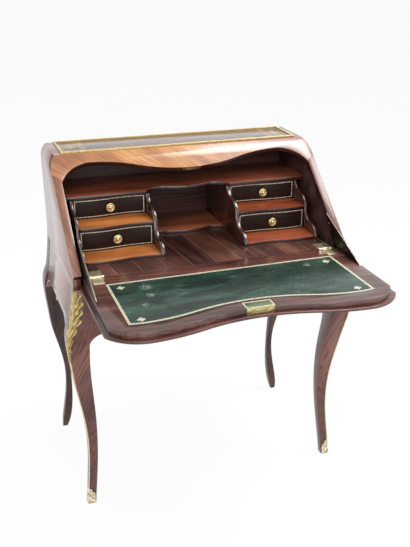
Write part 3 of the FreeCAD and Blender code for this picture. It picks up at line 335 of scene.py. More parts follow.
@dataclass(frozen=True)
class StrungVeneer:
    """Near-black veneered drawer front with a pale line let in round its edge.

    The eye sees a warm black with hardly any shine, framed by a broken cream line.
    """

    name: str
    wood: str
    light: str
    line: str
    faded: str
    inset_mm: float = 4.4
    width_mm: float = 2.0
    grain_mm: float = 3.0
    stretch: float = 20.0
    fleck_mm: float = 4.0

    def material(self, node: str) -> Material:
        """Builds the material for one front.

        Args:
            node: The drawer front's CAD node, whose box places the line.

        Returns:
            The material.
        """
        material, tree, shader = new_material(f"{self.name} {node}")
        low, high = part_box(node)
        half = (high - low) / 2
        place = add_node(tree, "TexCoord", "Object")
        centred = add_node(tree, "Mapping", "Vector", {"Location": tuple(-(low + half)), "Vector": place})
        # The line lies where the distance from the nearest edge is the inset.
        edges = []
        for axis in (Axis.X, Axis.Z):
            along = add_node(tree, "SeparateXYZ", axis.name, {"Vector": centred})
            off = add_node(tree, "Math", "Value", {0: along}, operation="ABSOLUTE")
            reach = half[axis.value]
            edges.append(add_node(tree, "Math", "Value", {0: reach, 1: off}, operation="SUBTRACT"))
        nearest = add_node(tree, "Math", "Value", {0: edges[0], 1: edges[1]}, operation="MINIMUM")
        band = {0: nearest, 1: self.inset_mm * MM, 2: self.width_mm * MM / 2}
        line = add_node(tree, "Math", "Value", band, operation="COMPARE")
        drawn = add_node(tree, "Mapping", "Vector", {"Scale": (1 / self.stretch, 1, 1), "Vector": place})
        lines = {"Scale": 1 / (self.grain_mm * MM), "Detail": 3.0, "Vector": drawn}
        spots = {"Scale": 1 / (self.fleck_mm * MM), "Detail": 2.0, "Vector": place}
        grain, fleck = (add_node(tree, "TexNoise", 0, noise) for noise in (lines, spots))
        wood = add_node(tree, "ValToRGB", "Color", {"Fac": grain}, [(0.35, self.wood), (0.7, self.light)])
        string = add_node(tree, "ValToRGB", "Color", {"Fac": fleck}, [(0.36, self.faded), (0.55, self.line)])
        finish = {
            "Base Color": add_node(tree, "Mix", "Result", {"Factor": line, "A": wood, "B": string}, **BLEND),
            "Roughness": 0.44,
            "Specular IOR Level": 0.14,
            "Coat Weight": 0.04,
            "Coat Roughness": 0.2,
        }
        feed(shader, finish)
        return material


@dataclass(frozen=True)
class Metal:
    """Cast or rolled metal, tarnished in patches and in the hollows of its chasing.

    The eye sees a soft broken reflection of the metal's own colour, brightest on
    what stands proud.

    Attributes:
        patch_mm: Size of the patches.
        tooth_mm: Size of the grain of the casting.
        relief: How much the grain shows.
        chased: Whether the piece has a relief attribute that says what stands proud.
    """

    name: str
    bright: str
    tarnish: str
    rough: float
    patch_mm: float = 9.0
    tooth_mm: float = 1.2
    relief: float = 0.2
    metallic: float = 1.0
    chased: bool = False

    def material(self) -> Material:
        """Builds the material on object coordinates.

        Returns:
            The material.
        """
        material, tree, shader = new_material(self.name)
        place = add_node(tree, "TexCoord", "Object")
        cloud = {"Scale": 1 / (self.patch_mm * MM), "Detail": 4.0, "Roughness": 0.65, "Vector": place}
        patches = add_node(tree, "TexNoise", 0, cloud)
        sand = {"Scale": 1 / (self.tooth_mm * MM), "Detail": 2.0, "Vector": place}
        tooth = add_node(tree, "TexNoise", 0, sand)
        rub = {"From Min": 0.3, "From Max": 0.56, "To Min": 0.25, "To Max": 1.0, "Value": patches}
        clean = add_node(tree, "MapRange", "Result", rub)
        if self.chased:
            height = add_node(tree, "Attribute", "Fac", attribute_name="relief", attribute_type="GEOMETRY")
            clean = add_node(tree, "Math", "Value", {0: clean, 1: height}, operation="MULTIPLY")
        worn = {"To Min": self.rough + 0.14, "To Max": self.rough - 0.04, "Value": clean}
        grain = {"Strength": self.relief, "Distance": 0.25 * MM, "Height": tooth}
        stops = [(0.05, self.tarnish), (0.8, self.bright)]
        finish = {
            "Base Color": add_node(tree, "ValToRGB", "Color", {"Fac": clean}, stops),
            "Metallic": self.metallic,
            "Roughness": add_node(tree, "MapRange", "Result", worn),
            "Normal": add_node(tree, "Bump", "Normal", grain),
        }
        feed(shader, finish)
        return material


@dataclass(frozen=True)
class Leather:
    """Thin skiver leather, dyed and waxed, scratched and scuffed pale where it was used.

    The eye sees a cloudy deep colour with scratches and a few broken pale smears
    under a soft waxy sheen. Real scratches are hairlines and would not show, so
    they are drawn as coarse as they need to be.

    Attributes:
        scuffs: X, Y and radius of each smear on the writing surface, in mm.
        pebble_mm: Size of the pebbles of the skin.
    """

    name: str
    deep: str
    mid: str
    worn: str
    scuffs: tuple[tuple[float, float, float], ...] = ()
    scuff: str = "#b4c2ba"
    rough: float = 0.36
    coat: float = 0.0
    pebble_mm: float = 1.6

    def material(self) -> Material:
        """Builds the material on object coordinates.

        Returns:
            The material.
        """
        material, tree, shader = new_material(self.name)
        place = add_node(tree, "TexCoord", "Object")
        # Clouds, flecks and two sets of scratches that cross.
        layers = []
        for size_mm, detail, turn, stretch in (
            (34, 6, -6, 3),
            (5, 6, 0, 1),
            (3.4, 4, 24, 12),
            (4.0, 4, -48, 9),
        ):
            laid = {"Rotation": (0, 0, math.radians(turn)), "Vector": place}
            long = {"Scale": (1 / stretch, 1, 1), "Vector": add_node(tree, "Mapping", "Vector", laid)}
            noise = {"Scale": 1 / (size_mm * MM), "Detail": detail, "Roughness": 0.62, "Distortion": 0.6}
            noise["Vector"] = add_node(tree, "Mapping", "Vector", long)
            layers.append(add_node(tree, "TexNoise", 0, noise))
        cloud, fleck, scratch, cross = layers
        colour = add_node(tree, "ValToRGB", "Color", {"Fac": cloud}, [(0.36, self.deep), (0.62, self.mid)])
        used = add_node(tree, "MapRange", "Result", {"From Min": 0.4, "From Max": 0.62, "Value": cloud})
        # Flecks and scratches show where the leather was used.
        for layer, start, end, share in (
            (fleck, 0.5, 0.72, 0.36),
            (scratch, 0.58, 0.7, 0.6),
            (cross, 0.61, 0.72, 0.6),
        ):
            span = {"From Min": start, "From Max": end, "To Min": 0.0, "To Max": share, "Value": layer}
            mark = add_node(tree, "MapRange", "Result", span)
            rub = add_node(tree, "Math", "Value", {0: mark, 1: used}, operation="MULTIPLY")
            mix = {"Factor": rub, "A": colour, "B": linear(self.worn)}
            colour = add_node(tree, "Mix", "Result", mix, **BLEND)
        broken = add_node(tree, "MapRange", "Result", {"From Min": 0.42, "From Max": 0.6, "Value": fleck})
        for x, y, radius in self.scuffs:
            spot = {0: place, 1: (x * MM, y * MM, WRITING_LEVEL)}
            away = add_node(tree, "VectorMath", "Value", spot, operation="DISTANCE")
            span = {"From Min": radius * MM, "From Max": 0.2 * radius * MM, "To Max": 0.75, "Value": away}
            near = add_node(tree, "MapRange", "Result", span)
            smear = add_node(tree, "Math", "Value", {0: near, 1: broken}, operation="MULTIPLY")
            mix = {"Factor": smear, "A": colour, "B": linear(self.scuff)}
            colour = add_node(tree, "Mix", "Result", mix, **BLEND)
        gloss = {"To Min": self.rough + 0.1, "To Max": self.rough - 0.08, "Value": cloud}
        pebble = {"Scale": 1 / (self.pebble_mm * MM), "Vector": place}
        skin = {"Strength": 0.15, "Distance": 0.15 * MM}
        skin["Height"] = add_node(tree, "TexVoronoi", "Distance", pebble)
        finish = {
            "Base Color": colour,
            "Roughness": add_node(tree, "MapRange", "Result", gloss),
            "Normal": add_node(tree, "Bump", "Normal", skin),
            "Coat Weight": self.coat,
            "Coat Roughness": 0.16,
        }
        feed(shader, finish)
        return material


class Wood(Enum):
    """The woods of the case, one for each colour and direction of the grain."""

    # Pinkish brown with upright lines; at a low angle its polish mirrors the white room.
    SIDE = Veneer(
        "Kingwood veneer, upright", "#5c3022", "#7e4c38", "#9c684f",
        turn=(0, 90, 0), coat=0.8, coat_rough=0.09,
    )
    # Pale golden brown stripes down the slanted stiles; the right stile is darkened with painted shade.
    STILE = Veneer(
        "Kingwood veneer, stile", "#7a4d3c", "#a07660", "#be9b86",
        turn=(-FRONT_SLOPE, 0, 75), streak_mm=2.6, rough=0.34, coat=0.4,
        tints=(
            Tint("#c8a698", Axis.X, 0, 300),
            Tint("#dad4ce", Axis.Z, 690, 760),
            Tint("#ffdeb0", Axis.Z, 750, 850),
        ),
    )
    # Golden orange with fine diagonal lines and a strong sheen; the right half is darkened with painted
    # shade.
    RAIL = Veneer(
        "Kingwood veneer, rail", "#9c6434", "#bb844b", "#d3a064",
        turn=(-FRONT_SLOPE, 0, 42), streak_mm=2.2, line="#c6ae9c", coat=1.0, coat_rough=0.25,
        tints=(Tint("#a8867e", Axis.X, 0, 300), Tint("#d8c8d4", Axis.X, -255, -315)),
    )
    # Dark red brown, slanting figure with lighter flames; darker and warmer from the knees up, as painted
    # shade under the fall.
    LEG = Veneer(
        "Kingwood veneer, leg", "#432420", "#643c33", "#885748",
        turn=(20, 60, 30), figure_mm=70, streak_mm=4.5, line="#b39c91",
        coat=0.4, coat_rough=0.16, specular=0.4, tints=(Tint("#f4cbb4", Axis.Z, 440, 520),),
    )
    # The same wood on the rear legs, darkened with painted shade, and duller.
    REAR_LEG = Veneer(
        "Kingwood veneer, rear leg", "#2c1813", "#442920", "#5f3d31",
        turn=(20, 60, 30), line="#a68d82", coat=0.3, coat_rough=0.2, specular=0.35,
    )
    # Plain dull brown of parts that are hardly seen.
    CARCASS = Veneer("Stained beech", "#2b1a12", "#3b251a", "#4b3122", rough=0.5, coat=0.05, specular=0.3)
    # Deep wine brown, almost without shine, so that the inside stays dark.
    INSIDE = Veneer("Stained walnut", "#392523", "#4c3431", "#5e443e", rough=0.5, coat=0.0, specular=0.18)
    # Red brown shelf with a soft shine.
    SHELF = Veneer("Rosewood shelf", "#703826", "#935038", "#b06b4c", rough=0.34, coat=0.3)
    # Dark edge of the shelf and the ledges, and of the rail and stiles: painted shade on faces that do not
    # face up.
    EDGE = Veneer("Rosewood edge", "#241210", "#351a16", "#47251e", rough=0.32, coat=0.45)
    # Bright orange brown, the lightest wood inside.
    LEDGE_LEFT = Veneer(
        "Satinwood ledge", "#87491f", "#a8622b", "#c27f40", line="#d2c2b4", rough=0.36, coat=0.3
    )
    # The same ledges on the right, darker and redder with painted shade.
    LEDGE_RIGHT = Veneer(
        "Mahogany ledge", "#733019", "#8e4324", "#a6582e", line="#cfbcb0", rough=0.36, coat=0.3
    )
    # Brown floor of the middle bay.
    BAY = Veneer("Mahogany bay floor", "#703b28", "#98583a", "#b3704b", rough=0.36, coat=0.3)
    # Dark red brown with bright glints on its curved edges.
    WALL = Veneer("Rosewood wall", "#2c1613", "#43241d", "#5b342a", turn=(0, 90, 0), coat=0.8, rough=0.24)
    # Mauve brown laid in strips from front to back, with pale joints; the front strip is lighter as painted
    # sheen, the rest darker.
    FLOOR = Veneer(
        "Kingwood floor", "#381f1a", "#5f3930", "#8a5847",
        turn=(0, 0, 84), strip_mm=66, line="#b4a298", coat=0.35, coat_rough=0.16,
        tints=(Tint("#bab6b4", Axis.Y, -5, 50),),
    )
    # Pale dry oak inside the drawers.
    OAK = Veneer("Oak drawer lining", "#8a6a45", "#a98358", "#c09c70", rough=0.55, coat=0.0)


def deselect() -> None:
    """Leaves nothing selected."""
    bpy.ops.object.select_all(action="DESELECT")


def make_active(piece: Object) -> None:
    """Selects one piece alone and makes it the active one.

    Args:
        piece: The piece.
    """
    deselect()
    piece.select_set(True)
    bpy.context.view_layer.objects.active = piece


def begin(add: Callable[..., object], name: str, **sizes: object) -> Object:
    """Begins a piece with a primitive.

    Args:
        add: Blender's operator that adds the primitive.
        name: Name of the piece.
        **sizes: What the operator is given.

    Returns:
        The primitive.
    """
    deselect()
    add(**sizes)
    piece = bpy.context.object
    piece.name = name
    return piece


@contextmanager
def editing(piece: Object, pick: Pick = Pick.CORNERS, whole: bool = True) -> Iterator[None]:
    """Puts one piece into edit mode.

    Args:
        piece: The piece to work on.
        pick: What is selected.
        whole: Whether everything is selected at first.

    Yields:
        Nothing; edit mode ends when the block does.
    """
    make_active(piece)
    bpy.ops.object.mode_set(mode="EDIT")
    bpy.ops.mesh.select_mode(type=pick.value)
    if whole:
        bpy.ops.mesh.select_all(action="SELECT")
    try:
        yield
    finally:
        bpy.ops.object.mode_set(mode="OBJECT")


def face_outwards() -> None:
    """Selects the whole mesh in edit mode and turns its faces outwards."""
    bpy.ops.mesh.select_all(action="SELECT")
    bpy.ops.mesh.normals_make_consistent(inside=False)


def raise_faces(rise_mm: float) -> None:
    """Raises the selected faces in edit mode and closes the shape."""
    bpy.ops.mesh.extrude_region_move(TRANSFORM_OT_translate={"value": (0, 0, rise_mm * MM)})
    face_outwards()


def apply_modifier(piece: Object, kind: str, **settings: object) -> None:
    """Adds one modifier to a piece and applies it.

    Args:
        piece: The piece.
        kind: Blender's modifier type.
        **settings: Attributes of the modifier.
    """
    make_active(piece)
    modifier = piece.modifiers.new(kind.lower(), kind)
    for key, value in settings.items():
        setattr(modifier, key, value)
    bpy.ops.object.modifier_apply(modifier=modifier.name)


def smooth(piece: Object, degrees: float = 35.0) -> None:
    """Shades a piece smooth but for its sharp edges."""
    make_active(piece)
    bpy.ops.object.shade_smooth_by_angle(angle=math.radians(degrees))


def dress(piece: Object, material: Material) -> None:
    """Gives a piece one material all over."""
    piece.data.materials.clear()
    piece.data.materials.append(material)


def dress_part(piece: Object, material: Material, faces: Callable[[Vector], bool]) -> None:
    """Gives some faces of a dressed piece a second material.

    Args:
        piece: The piece.
        material: The second material.
        faces: Says for a face's normal whether it takes the second material.
    """
    piece.data.materials.append(material)
    for polygon in piece.data.polygons:
        if faces(polygon.normal):
            polygon.material_index = 1


def copy_at(pattern: Object, name: str, move: Matrix) -> Object:
    """Copies a modelled piece, with a mesh of its own that holds its place.

    Args:
        pattern: The piece to copy.
        name: Name of the copy.
        move: Where the copy goes.

    Returns:
        The copy.
    """
    mesh = pattern.data.copy()
    mesh.transform(move)
    piece = bpy.data.objects.new(name, mesh)
    bpy.context.scene.collection.objects.link(piece)
    return piece


def lay_along(pattern: Object, path: Sequence[Point], level: float, pitch_mm: float, name: str) -> Object:
    """Lays copies of a small shape along a closed path and joins them.

    Args:
        pattern: The shape at the origin, along X; it is used up.
        path: Corners of the path, in metres.
        level: Height of the copies.
        pitch_mm: Distance from copy to copy, which is made to fit each straight.
        name: Name of the joined piece.

    Returns:
        The joined piece.
    """
    copies = []
    for start, end in zip(path, path[1:] + path[:1]):
        a, b = Vector(start), Vector(end)
        count = max(1, round((b - a).length / (pitch_mm * MM)))
        turn = Matrix.Rotation(math.atan2(b.y - a.y, b.x - a.x), 4, "Z")
        for index in range(count):
            spot = a + (b - a) * (index / count)
            copies.append(copy_at(pattern, name, Matrix.Translation((spot.x, spot.y, level)) @ turn))
    bpy.data.objects.remove(pattern)
    make_active(copies[0])
    for piece in copies:
        piece.select_set(True)
    bpy.ops.object.join()
    return bpy.context.object


def settle(piece: Object, material: Material, body: str, slot: str, *nodes: str) -> None:
    """Dresses a new piece, fixes it to its body and hides the CAD nodes that it replaces.

    Args:
        piece: The finished piece.
        material: Its finish.
        body: The body it rides on.
        slot: The record's material slot; not used.
        *nodes: CAD nodes that it replaces.
    """
    dress(piece, material)
    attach(piece, body)
    if nodes:
        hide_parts(*nodes)
    log.info("%s on %s", piece.name, body)


@dataclass(frozen=True)
class Joiner:
    """Turns CAD boards into finished ones with eased edges.

    Attributes:
        sharp: Edges that turn by more than this many degrees are rounded.
        flat: Faces that turn by less than this many degrees become one.
        weld_mm: Points closer than this become one.
    """

    sharp: float = 38.0
    flat: float = 0.6
    weld_mm: float = 0.01

    def ease(
        self,
        node: str,
        width_mm: float,
        material: Material,
        spare: Callable[[Vector], bool] = lambda middle: False,
    ) -> Object:
        """Copies a CAD node, rounds its arrises and puts the copy in its place.

        Args:
            node: The CAD node.
            width_mm: Width of the rounding.
            material: Its finish.
            spare: Says for an edge's middle whether the edge stays sharp.

        Returns:
            The finished board.
        """
        source = frame["nodes"][node]
        board = copy_at(source, f"{node}_board", Matrix.Identity(4))
        make_active(board)
        if board.data.has_custom_normals:
            bpy.ops.mesh.customdata_custom_splitnormals_clear()
        with editing(board, Pick.EDGES):
            bpy.ops.mesh.remove_doubles(threshold=self.weld_mm * MM)
            bpy.ops.mesh.dissolve_limited(angle_limit=math.radians(self.flat))
            bpy.ops.mesh.select_all(action="DESELECT")
            bpy.ops.mesh.edges_select_sharp(sharpness=math.radians(self.sharp))
        mesh = board.data
        weights = mesh.attributes.new("bevel_weight_edge", "FLOAT", "EDGE")
        for edge in mesh.edges:
            middle = (mesh.vertices[edge.vertices[0]].co + mesh.vertices[edge.vertices[1]].co) / 2
            weights.data[edge.index].value = float(edge.select and not spare(middle))
        rounding = {"width": width_mm * MM, "segments": 2, "use_clamp_overlap": True}
        apply_modifier(board, "BEVEL", limit_method="WEIGHT", **rounding)
        low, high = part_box(node)
        for vertex in board.data.vertices:
            vertex.co = [clamp(c, a, b) for c, a, b in zip(vertex.co, low, high)]
        smooth(board)
        settle(board, material, source["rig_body"], SLOTS[node], node)
        return board


class Arris:
    """The outer front corner of a front leg, measured with rays on its CAD node."""

    # How far behind the leg's foremost point a ray looks for the outer face; the first hit counts.
    DEPTHS_MM = (20, 26, 14, 8, 32)
    # How far inside the corner the front face and the inner face are measured.
    FRONT_INSET_MM = 6
    INNER_INSET_MM = 4
    # Starts of the rays, well away from the leg.
    ASIDE = 0.5
    AHEAD = 0.1

    def __init__(self, side: Side) -> None:
        """Prepares the leg of one side for measuring.

        Args:
            side: Which front leg.
        """
        mesh = frame["nodes"][f"leg_front_{side.word}"].data
        corners = [vertex.co.copy() for vertex in mesh.vertices]
        self.sign = side.value
        self.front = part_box(f"leg_front_{side.word}")[0].y
        self.tree = BVHTree.FromPolygons(corners, [tuple(face.vertices) for face in mesh.polygons])

    def at(self, z: float) -> Point:
        """Finds the corner at one height.

        Args:
            z: Height in metres.

        Returns:
            The outer face's X and the front face's Y.
        """
        for depth in self.DEPTHS_MM:
            start = Vector((self.sign * self.ASIDE, self.front + depth * MM, z))
            hit = self.tree.ray_cast(start, Vector((-self.sign, 0, 0)))[0]
            if hit is not None:
                break
        start = Vector((hit.x - self.sign * self.FRONT_INSET_MM * MM, self.front - self.AHEAD, z))
        return hit.x, self.tree.ray_cast(start, Vector((0, 1, 0)))[0].y

    def inner(self, z: float) -> float:
        """Finds the leg's inner face at one height.

        Args:
            z: Height in metres.

        Returns:
            The inner face's X.
        """
        start = Vector((0, self.at(z)[1] + self.INNER_INSET_MM * MM, z))
        return self.tree.ray_cast(start, Vector((self.sign, 0, 0)))[0].x


@dataclass(frozen=True)
class Case:
    """The veneered case, its frame, legs, boards and interior.

    Attributes:
        soft_mm: Rounding of boards.
        frame_soft_mm: Rounding of the sides, the frame, the shelf and the walls.
        leg_soft_mm: Rounding of the legs.
        seam_mm: Rounding of the apron, and how far it runs into the knees.
        post_foot_mm: Height above which a leg is a post, whose edges stay sharp.
        post_mm: How far the posts reach from the middle.
        flow_from_mm: Where the apron's front begins to swell, from the middle.
        flow_to_mm: Where it is level with the knee.
        flow_steps: Cuts along that stretch.
        flow_rows: Cuts over the apron's height.
        flow_rim_mm: How far below the apron's top the knee is still measured.
        ear_from_mm: Where the ears begin to stretch to the leg.
        ear_end_mm: Where they end in CAD.
        ear_top_mm: Height of the ears' top.
        slack_mm: Slack when a point is told apart by its place.
        inner_face: A side's face is an inner one past this much of the normal.
        stile_face: The same for a stile; its inner faces take painted shade.
        stile_under: A stile's face is an under one past this much of the normal; under faces take painted
            shade.
        rail_over: The rail's face is an upper one past this much of the normal; the other faces take painted
            shade.
        board_over: The same for a shelf or a ledge.
    """

    soft_mm: float = 0.9
    frame_soft_mm: float = 1.6
    leg_soft_mm: float = 1.1
    seam_mm: float = 0.2
    post_foot_mm: float = 494.0
    post_mm: float = 353.0
    flow_from_mm: float = 285.0
    flow_to_mm: float = 338.0
    flow_steps: int = 6
    flow_rows: int = 15
    flow_rim_mm: float = 2.0
    ear_from_mm: float = 318.0
    ear_end_mm: float = 337.0
    ear_top_mm: float = 552.0
    slack_mm: float = 1.0
    inner_face: float = 0.75
    stile_face: float = 0.5
    stile_under: float = 0.3
    rail_over: float = 0.2
    board_over: float = 0.8

    def build(self, joiner: Joiner) -> None:
        """Finishes every board of the case.

        Args:
            joiner: Makes the eased boards.
        """
        wood = {kind: kind.value.material() for kind in Wood}
        joiner.ease("top_board", self.soft_mm, wood[Wood.SIDE])
        self.flow(joiner.ease("front_apron", self.seam_mm, wood[Wood.LEG]))
        for node, kind in (
            ("back_panel", Wood.INSIDE),
            ("writing_floor", Wood.FLOOR),
            ("rear_apron", Wood.CARCASS),
            ("bottom_board", Wood.CARCASS),
        ):
            joiner.ease(node, self.soft_mm, wood[kind])
        for node, kind, soft, over in (
            ("front_top_rail", Wood.RAIL, self.frame_soft_mm, self.rail_over),
            ("shelf", Wood.SHELF, self.frame_soft_mm, self.board_over),
            ("centre_ledge", Wood.BAY, self.soft_mm, self.board_over),
            ("ledge_lower_left", Wood.LEDGE_LEFT, self.soft_mm, self.board_over),
            ("ledge_upper_left", Wood.LEDGE_LEFT, self.soft_mm, self.board_over),
            ("ledge_lower_right", Wood.LEDGE_RIGHT, self.soft_mm, self.board_over),
            ("ledge_upper_right", Wood.LEDGE_RIGHT, self.soft_mm, self.board_over),
        ):
            board = joiner.ease(node, soft, wood[kind])
            # Faces that do not face up get the darker edge wood as painted shade.
            dress_part(board, wood[Wood.EDGE], lambda normal: normal.z < over)
        for side in Side:
            self.flank(joiner, wood, side)
        # Warm black of ebonised pear wood, framed by a line of holly gone cream.
        strung = StrungVeneer("Ebonised front with stringing", "#170c09", "#291711", "#d3c6ae", "#94836a")
        for drawer in DRAWERS:
            joiner.ease(f"{drawer}_front", self.soft_mm, strung.material(f"{drawer}_front"))
            joiner.ease(f"{drawer}_tray", self.soft_mm, wood[Wood.OAK])

    def flow(self, apron: Object) -> None:
        """Draws the ends of the apron forwards and outwards so that they run into the knees.

        Args:
            apron: The eased apron.
        """
        low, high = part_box("front_apron")
        span = self.flow_to_mm - self.flow_from_mm
        steps = [self.flow_from_mm + span * i / self.flow_steps for i in range(self.flow_steps + 1)]
        rows = [low.z + (high.z - low.z) * i / self.flow_rows for i in range(1, self.flow_rows)]
        cuts = [((side.value * step * MM, 0, 0), (1, 0, 0)) for side in Side for step in steps]
        cuts += [((0, 0, row), (0, 0, 1)) for row in rows]
        with editing(apron):
            for spot, across in cuts:
                bpy.ops.mesh.select_all(action="SELECT")
                bpy.ops.mesh.bisect(plane_co=spot, plane_no=across)
        front = low.y + self.slack_mm * MM
        top = high.z - self.flow_rim_mm * MM
        knees = {side: Arris(side) for side in Side}
        for vertex in apron.data.vertices:
            knee = knees[Side.RIGHT if vertex.co.x > 0 else Side.LEFT]
            out = abs(vertex.co.x) / MM
            ear = self.ear_from_mm < out < self.ear_end_mm + self.slack_mm
            if ear and vertex.co.z < self.ear_top_mm * MM:
                end = knee.inner(vertex.co.z) + knee.sign * self.seam_mm * MM
                share = min(1.0, (out - self.ear_from_mm) / (self.ear_end_mm - self.ear_from_mm))
                vertex.co.x += (end - knee.sign * self.ear_end_mm * MM) * share * share
            if vertex.co.y <= front:
                face = knee.at(min(vertex.co.z, top))[1] + self.seam_mm * MM
                vertex.co.y += min(0.0, face - vertex.co.y) * gentle(clamp((out - self.flow_from_mm) / span))
        smooth(apron, 30)

    def flank(self, joiner: Joiner, wood: dict[Wood, Material], side: Side) -> None:
        """Finishes the boards that stand on one side.

        Args:
            joiner: Makes the eased boards.
            wood: The woods of the case.
            side: Which side.
        """

        def inward(normal: Vector) -> float:
            """How far a normal points to the middle of the desk."""
            return -normal.x * side.value

        board = joiner.ease(f"side_{side.word}", self.frame_soft_mm, wood[Wood.SIDE])
        dress_part(board, wood[Wood.INSIDE], lambda normal: inward(normal) > self.inner_face)
        stile = joiner.ease(f"front_stile_{side.word}", self.frame_soft_mm, wood[Wood.STILE])
        # The stile's inner and under faces get the darker edge wood as painted shade.
        dress_part(
            stile,
            wood[Wood.EDGE],
            lambda normal: inward(normal) > self.stile_face or normal.z < -self.stile_under,
        )
        joiner.ease(
            f"leg_front_{side.word}",
            self.leg_soft_mm,
            wood[Wood.LEG],
            lambda middle: middle.z > self.post_foot_mm * MM and abs(middle.x) < self.post_mm * MM,
        )
        joiner.ease(f"leg_rear_{side.word}", self.leg_soft_mm, wood[Wood.REAR_LEG])
        for wall in ("inner", "outer"):
            joiner.ease(f"wall_{wall}_{side.word}", self.frame_soft_mm, wood[Wood.WALL])


@dataclass(frozen=True)
class Fall:
    """The hinged writing flap with its boards and leather.

    Attributes:
        side_face: A board's face is a side edge past this much of the normal; side edges take painted shade.
    """

    board_soft_mm: float = 1.2
    lip_soft_mm: float = 2.2
    leather_soft_mm: float = 0.3
    side_face: float = 0.93

    def build(self, joiner: Joiner) -> None:
        """Finishes the boards and the leather of the fall.

        Args:
            joiner: Makes the eased boards.
        """
        # Mauve brown border with a broad soft sheen; the strip along the hinge is left lighter as painted
        # sheen.
        border = Veneer(
            "Kingwood fall border", "#53302b", "#7c5046", "#a66e60",
            turn=(0, 0, 4), streak_mm=5, line="#9a857a", coat=0.5, coat_rough=0.16,
            tints=(Tint("#c4bebc", Axis.Y, -85, -125),),
        )
        # Redder edge that catches the light along its rounding, darkened towards the left with painted
        # shade.
        lip = Veneer(
            "Kingwood fall lip", "#43201a", "#623224", "#7d4630",
            streak_mm=5, coat=0.4, tints=(Tint("#b8b4b4", Axis.X, -130, -330),),
        )
        # Side edges painted nearly black, as painted shade.
        side = Veneer("Kingwood fall side", "#1d1210", "#2d1c19", "#402a24", streak_mm=5, coat=0.3)
        shaded_sides = side.material()
        for node, soft, wood in (
            ("fall_board", self.board_soft_mm, border),
            ("fall_lip", self.lip_soft_mm, lip),
        ):
            board = joiner.ease(node, soft, wood.material())
            # Side edges take the nearly black painted shade.
            dress_part(board, shaded_sides, lambda normal: abs(normal.x) > self.side_face)
        # Bottle green, darkest where it does not mirror the room.
        green = Leather(
            "Green skiver leather", "#04140f", "#16382c", "#7b9c84", rough=0.33,
            scuffs=((-213, -135, 19), (-216, -184, 13), (-242, -232, 10), (214, -130, 12)),
        )
        joiner.ease("fall_leather", self.leather_soft_mm, green.material())
        # The same leather, faded where hands took hold of it.
        faded = Leather("Faded green leather", "#3a4a35", "#5d6a4c", "#8b9270", rough=0.4)
        joiner.ease("lock_cover", self.leather_soft_mm, faded.material())


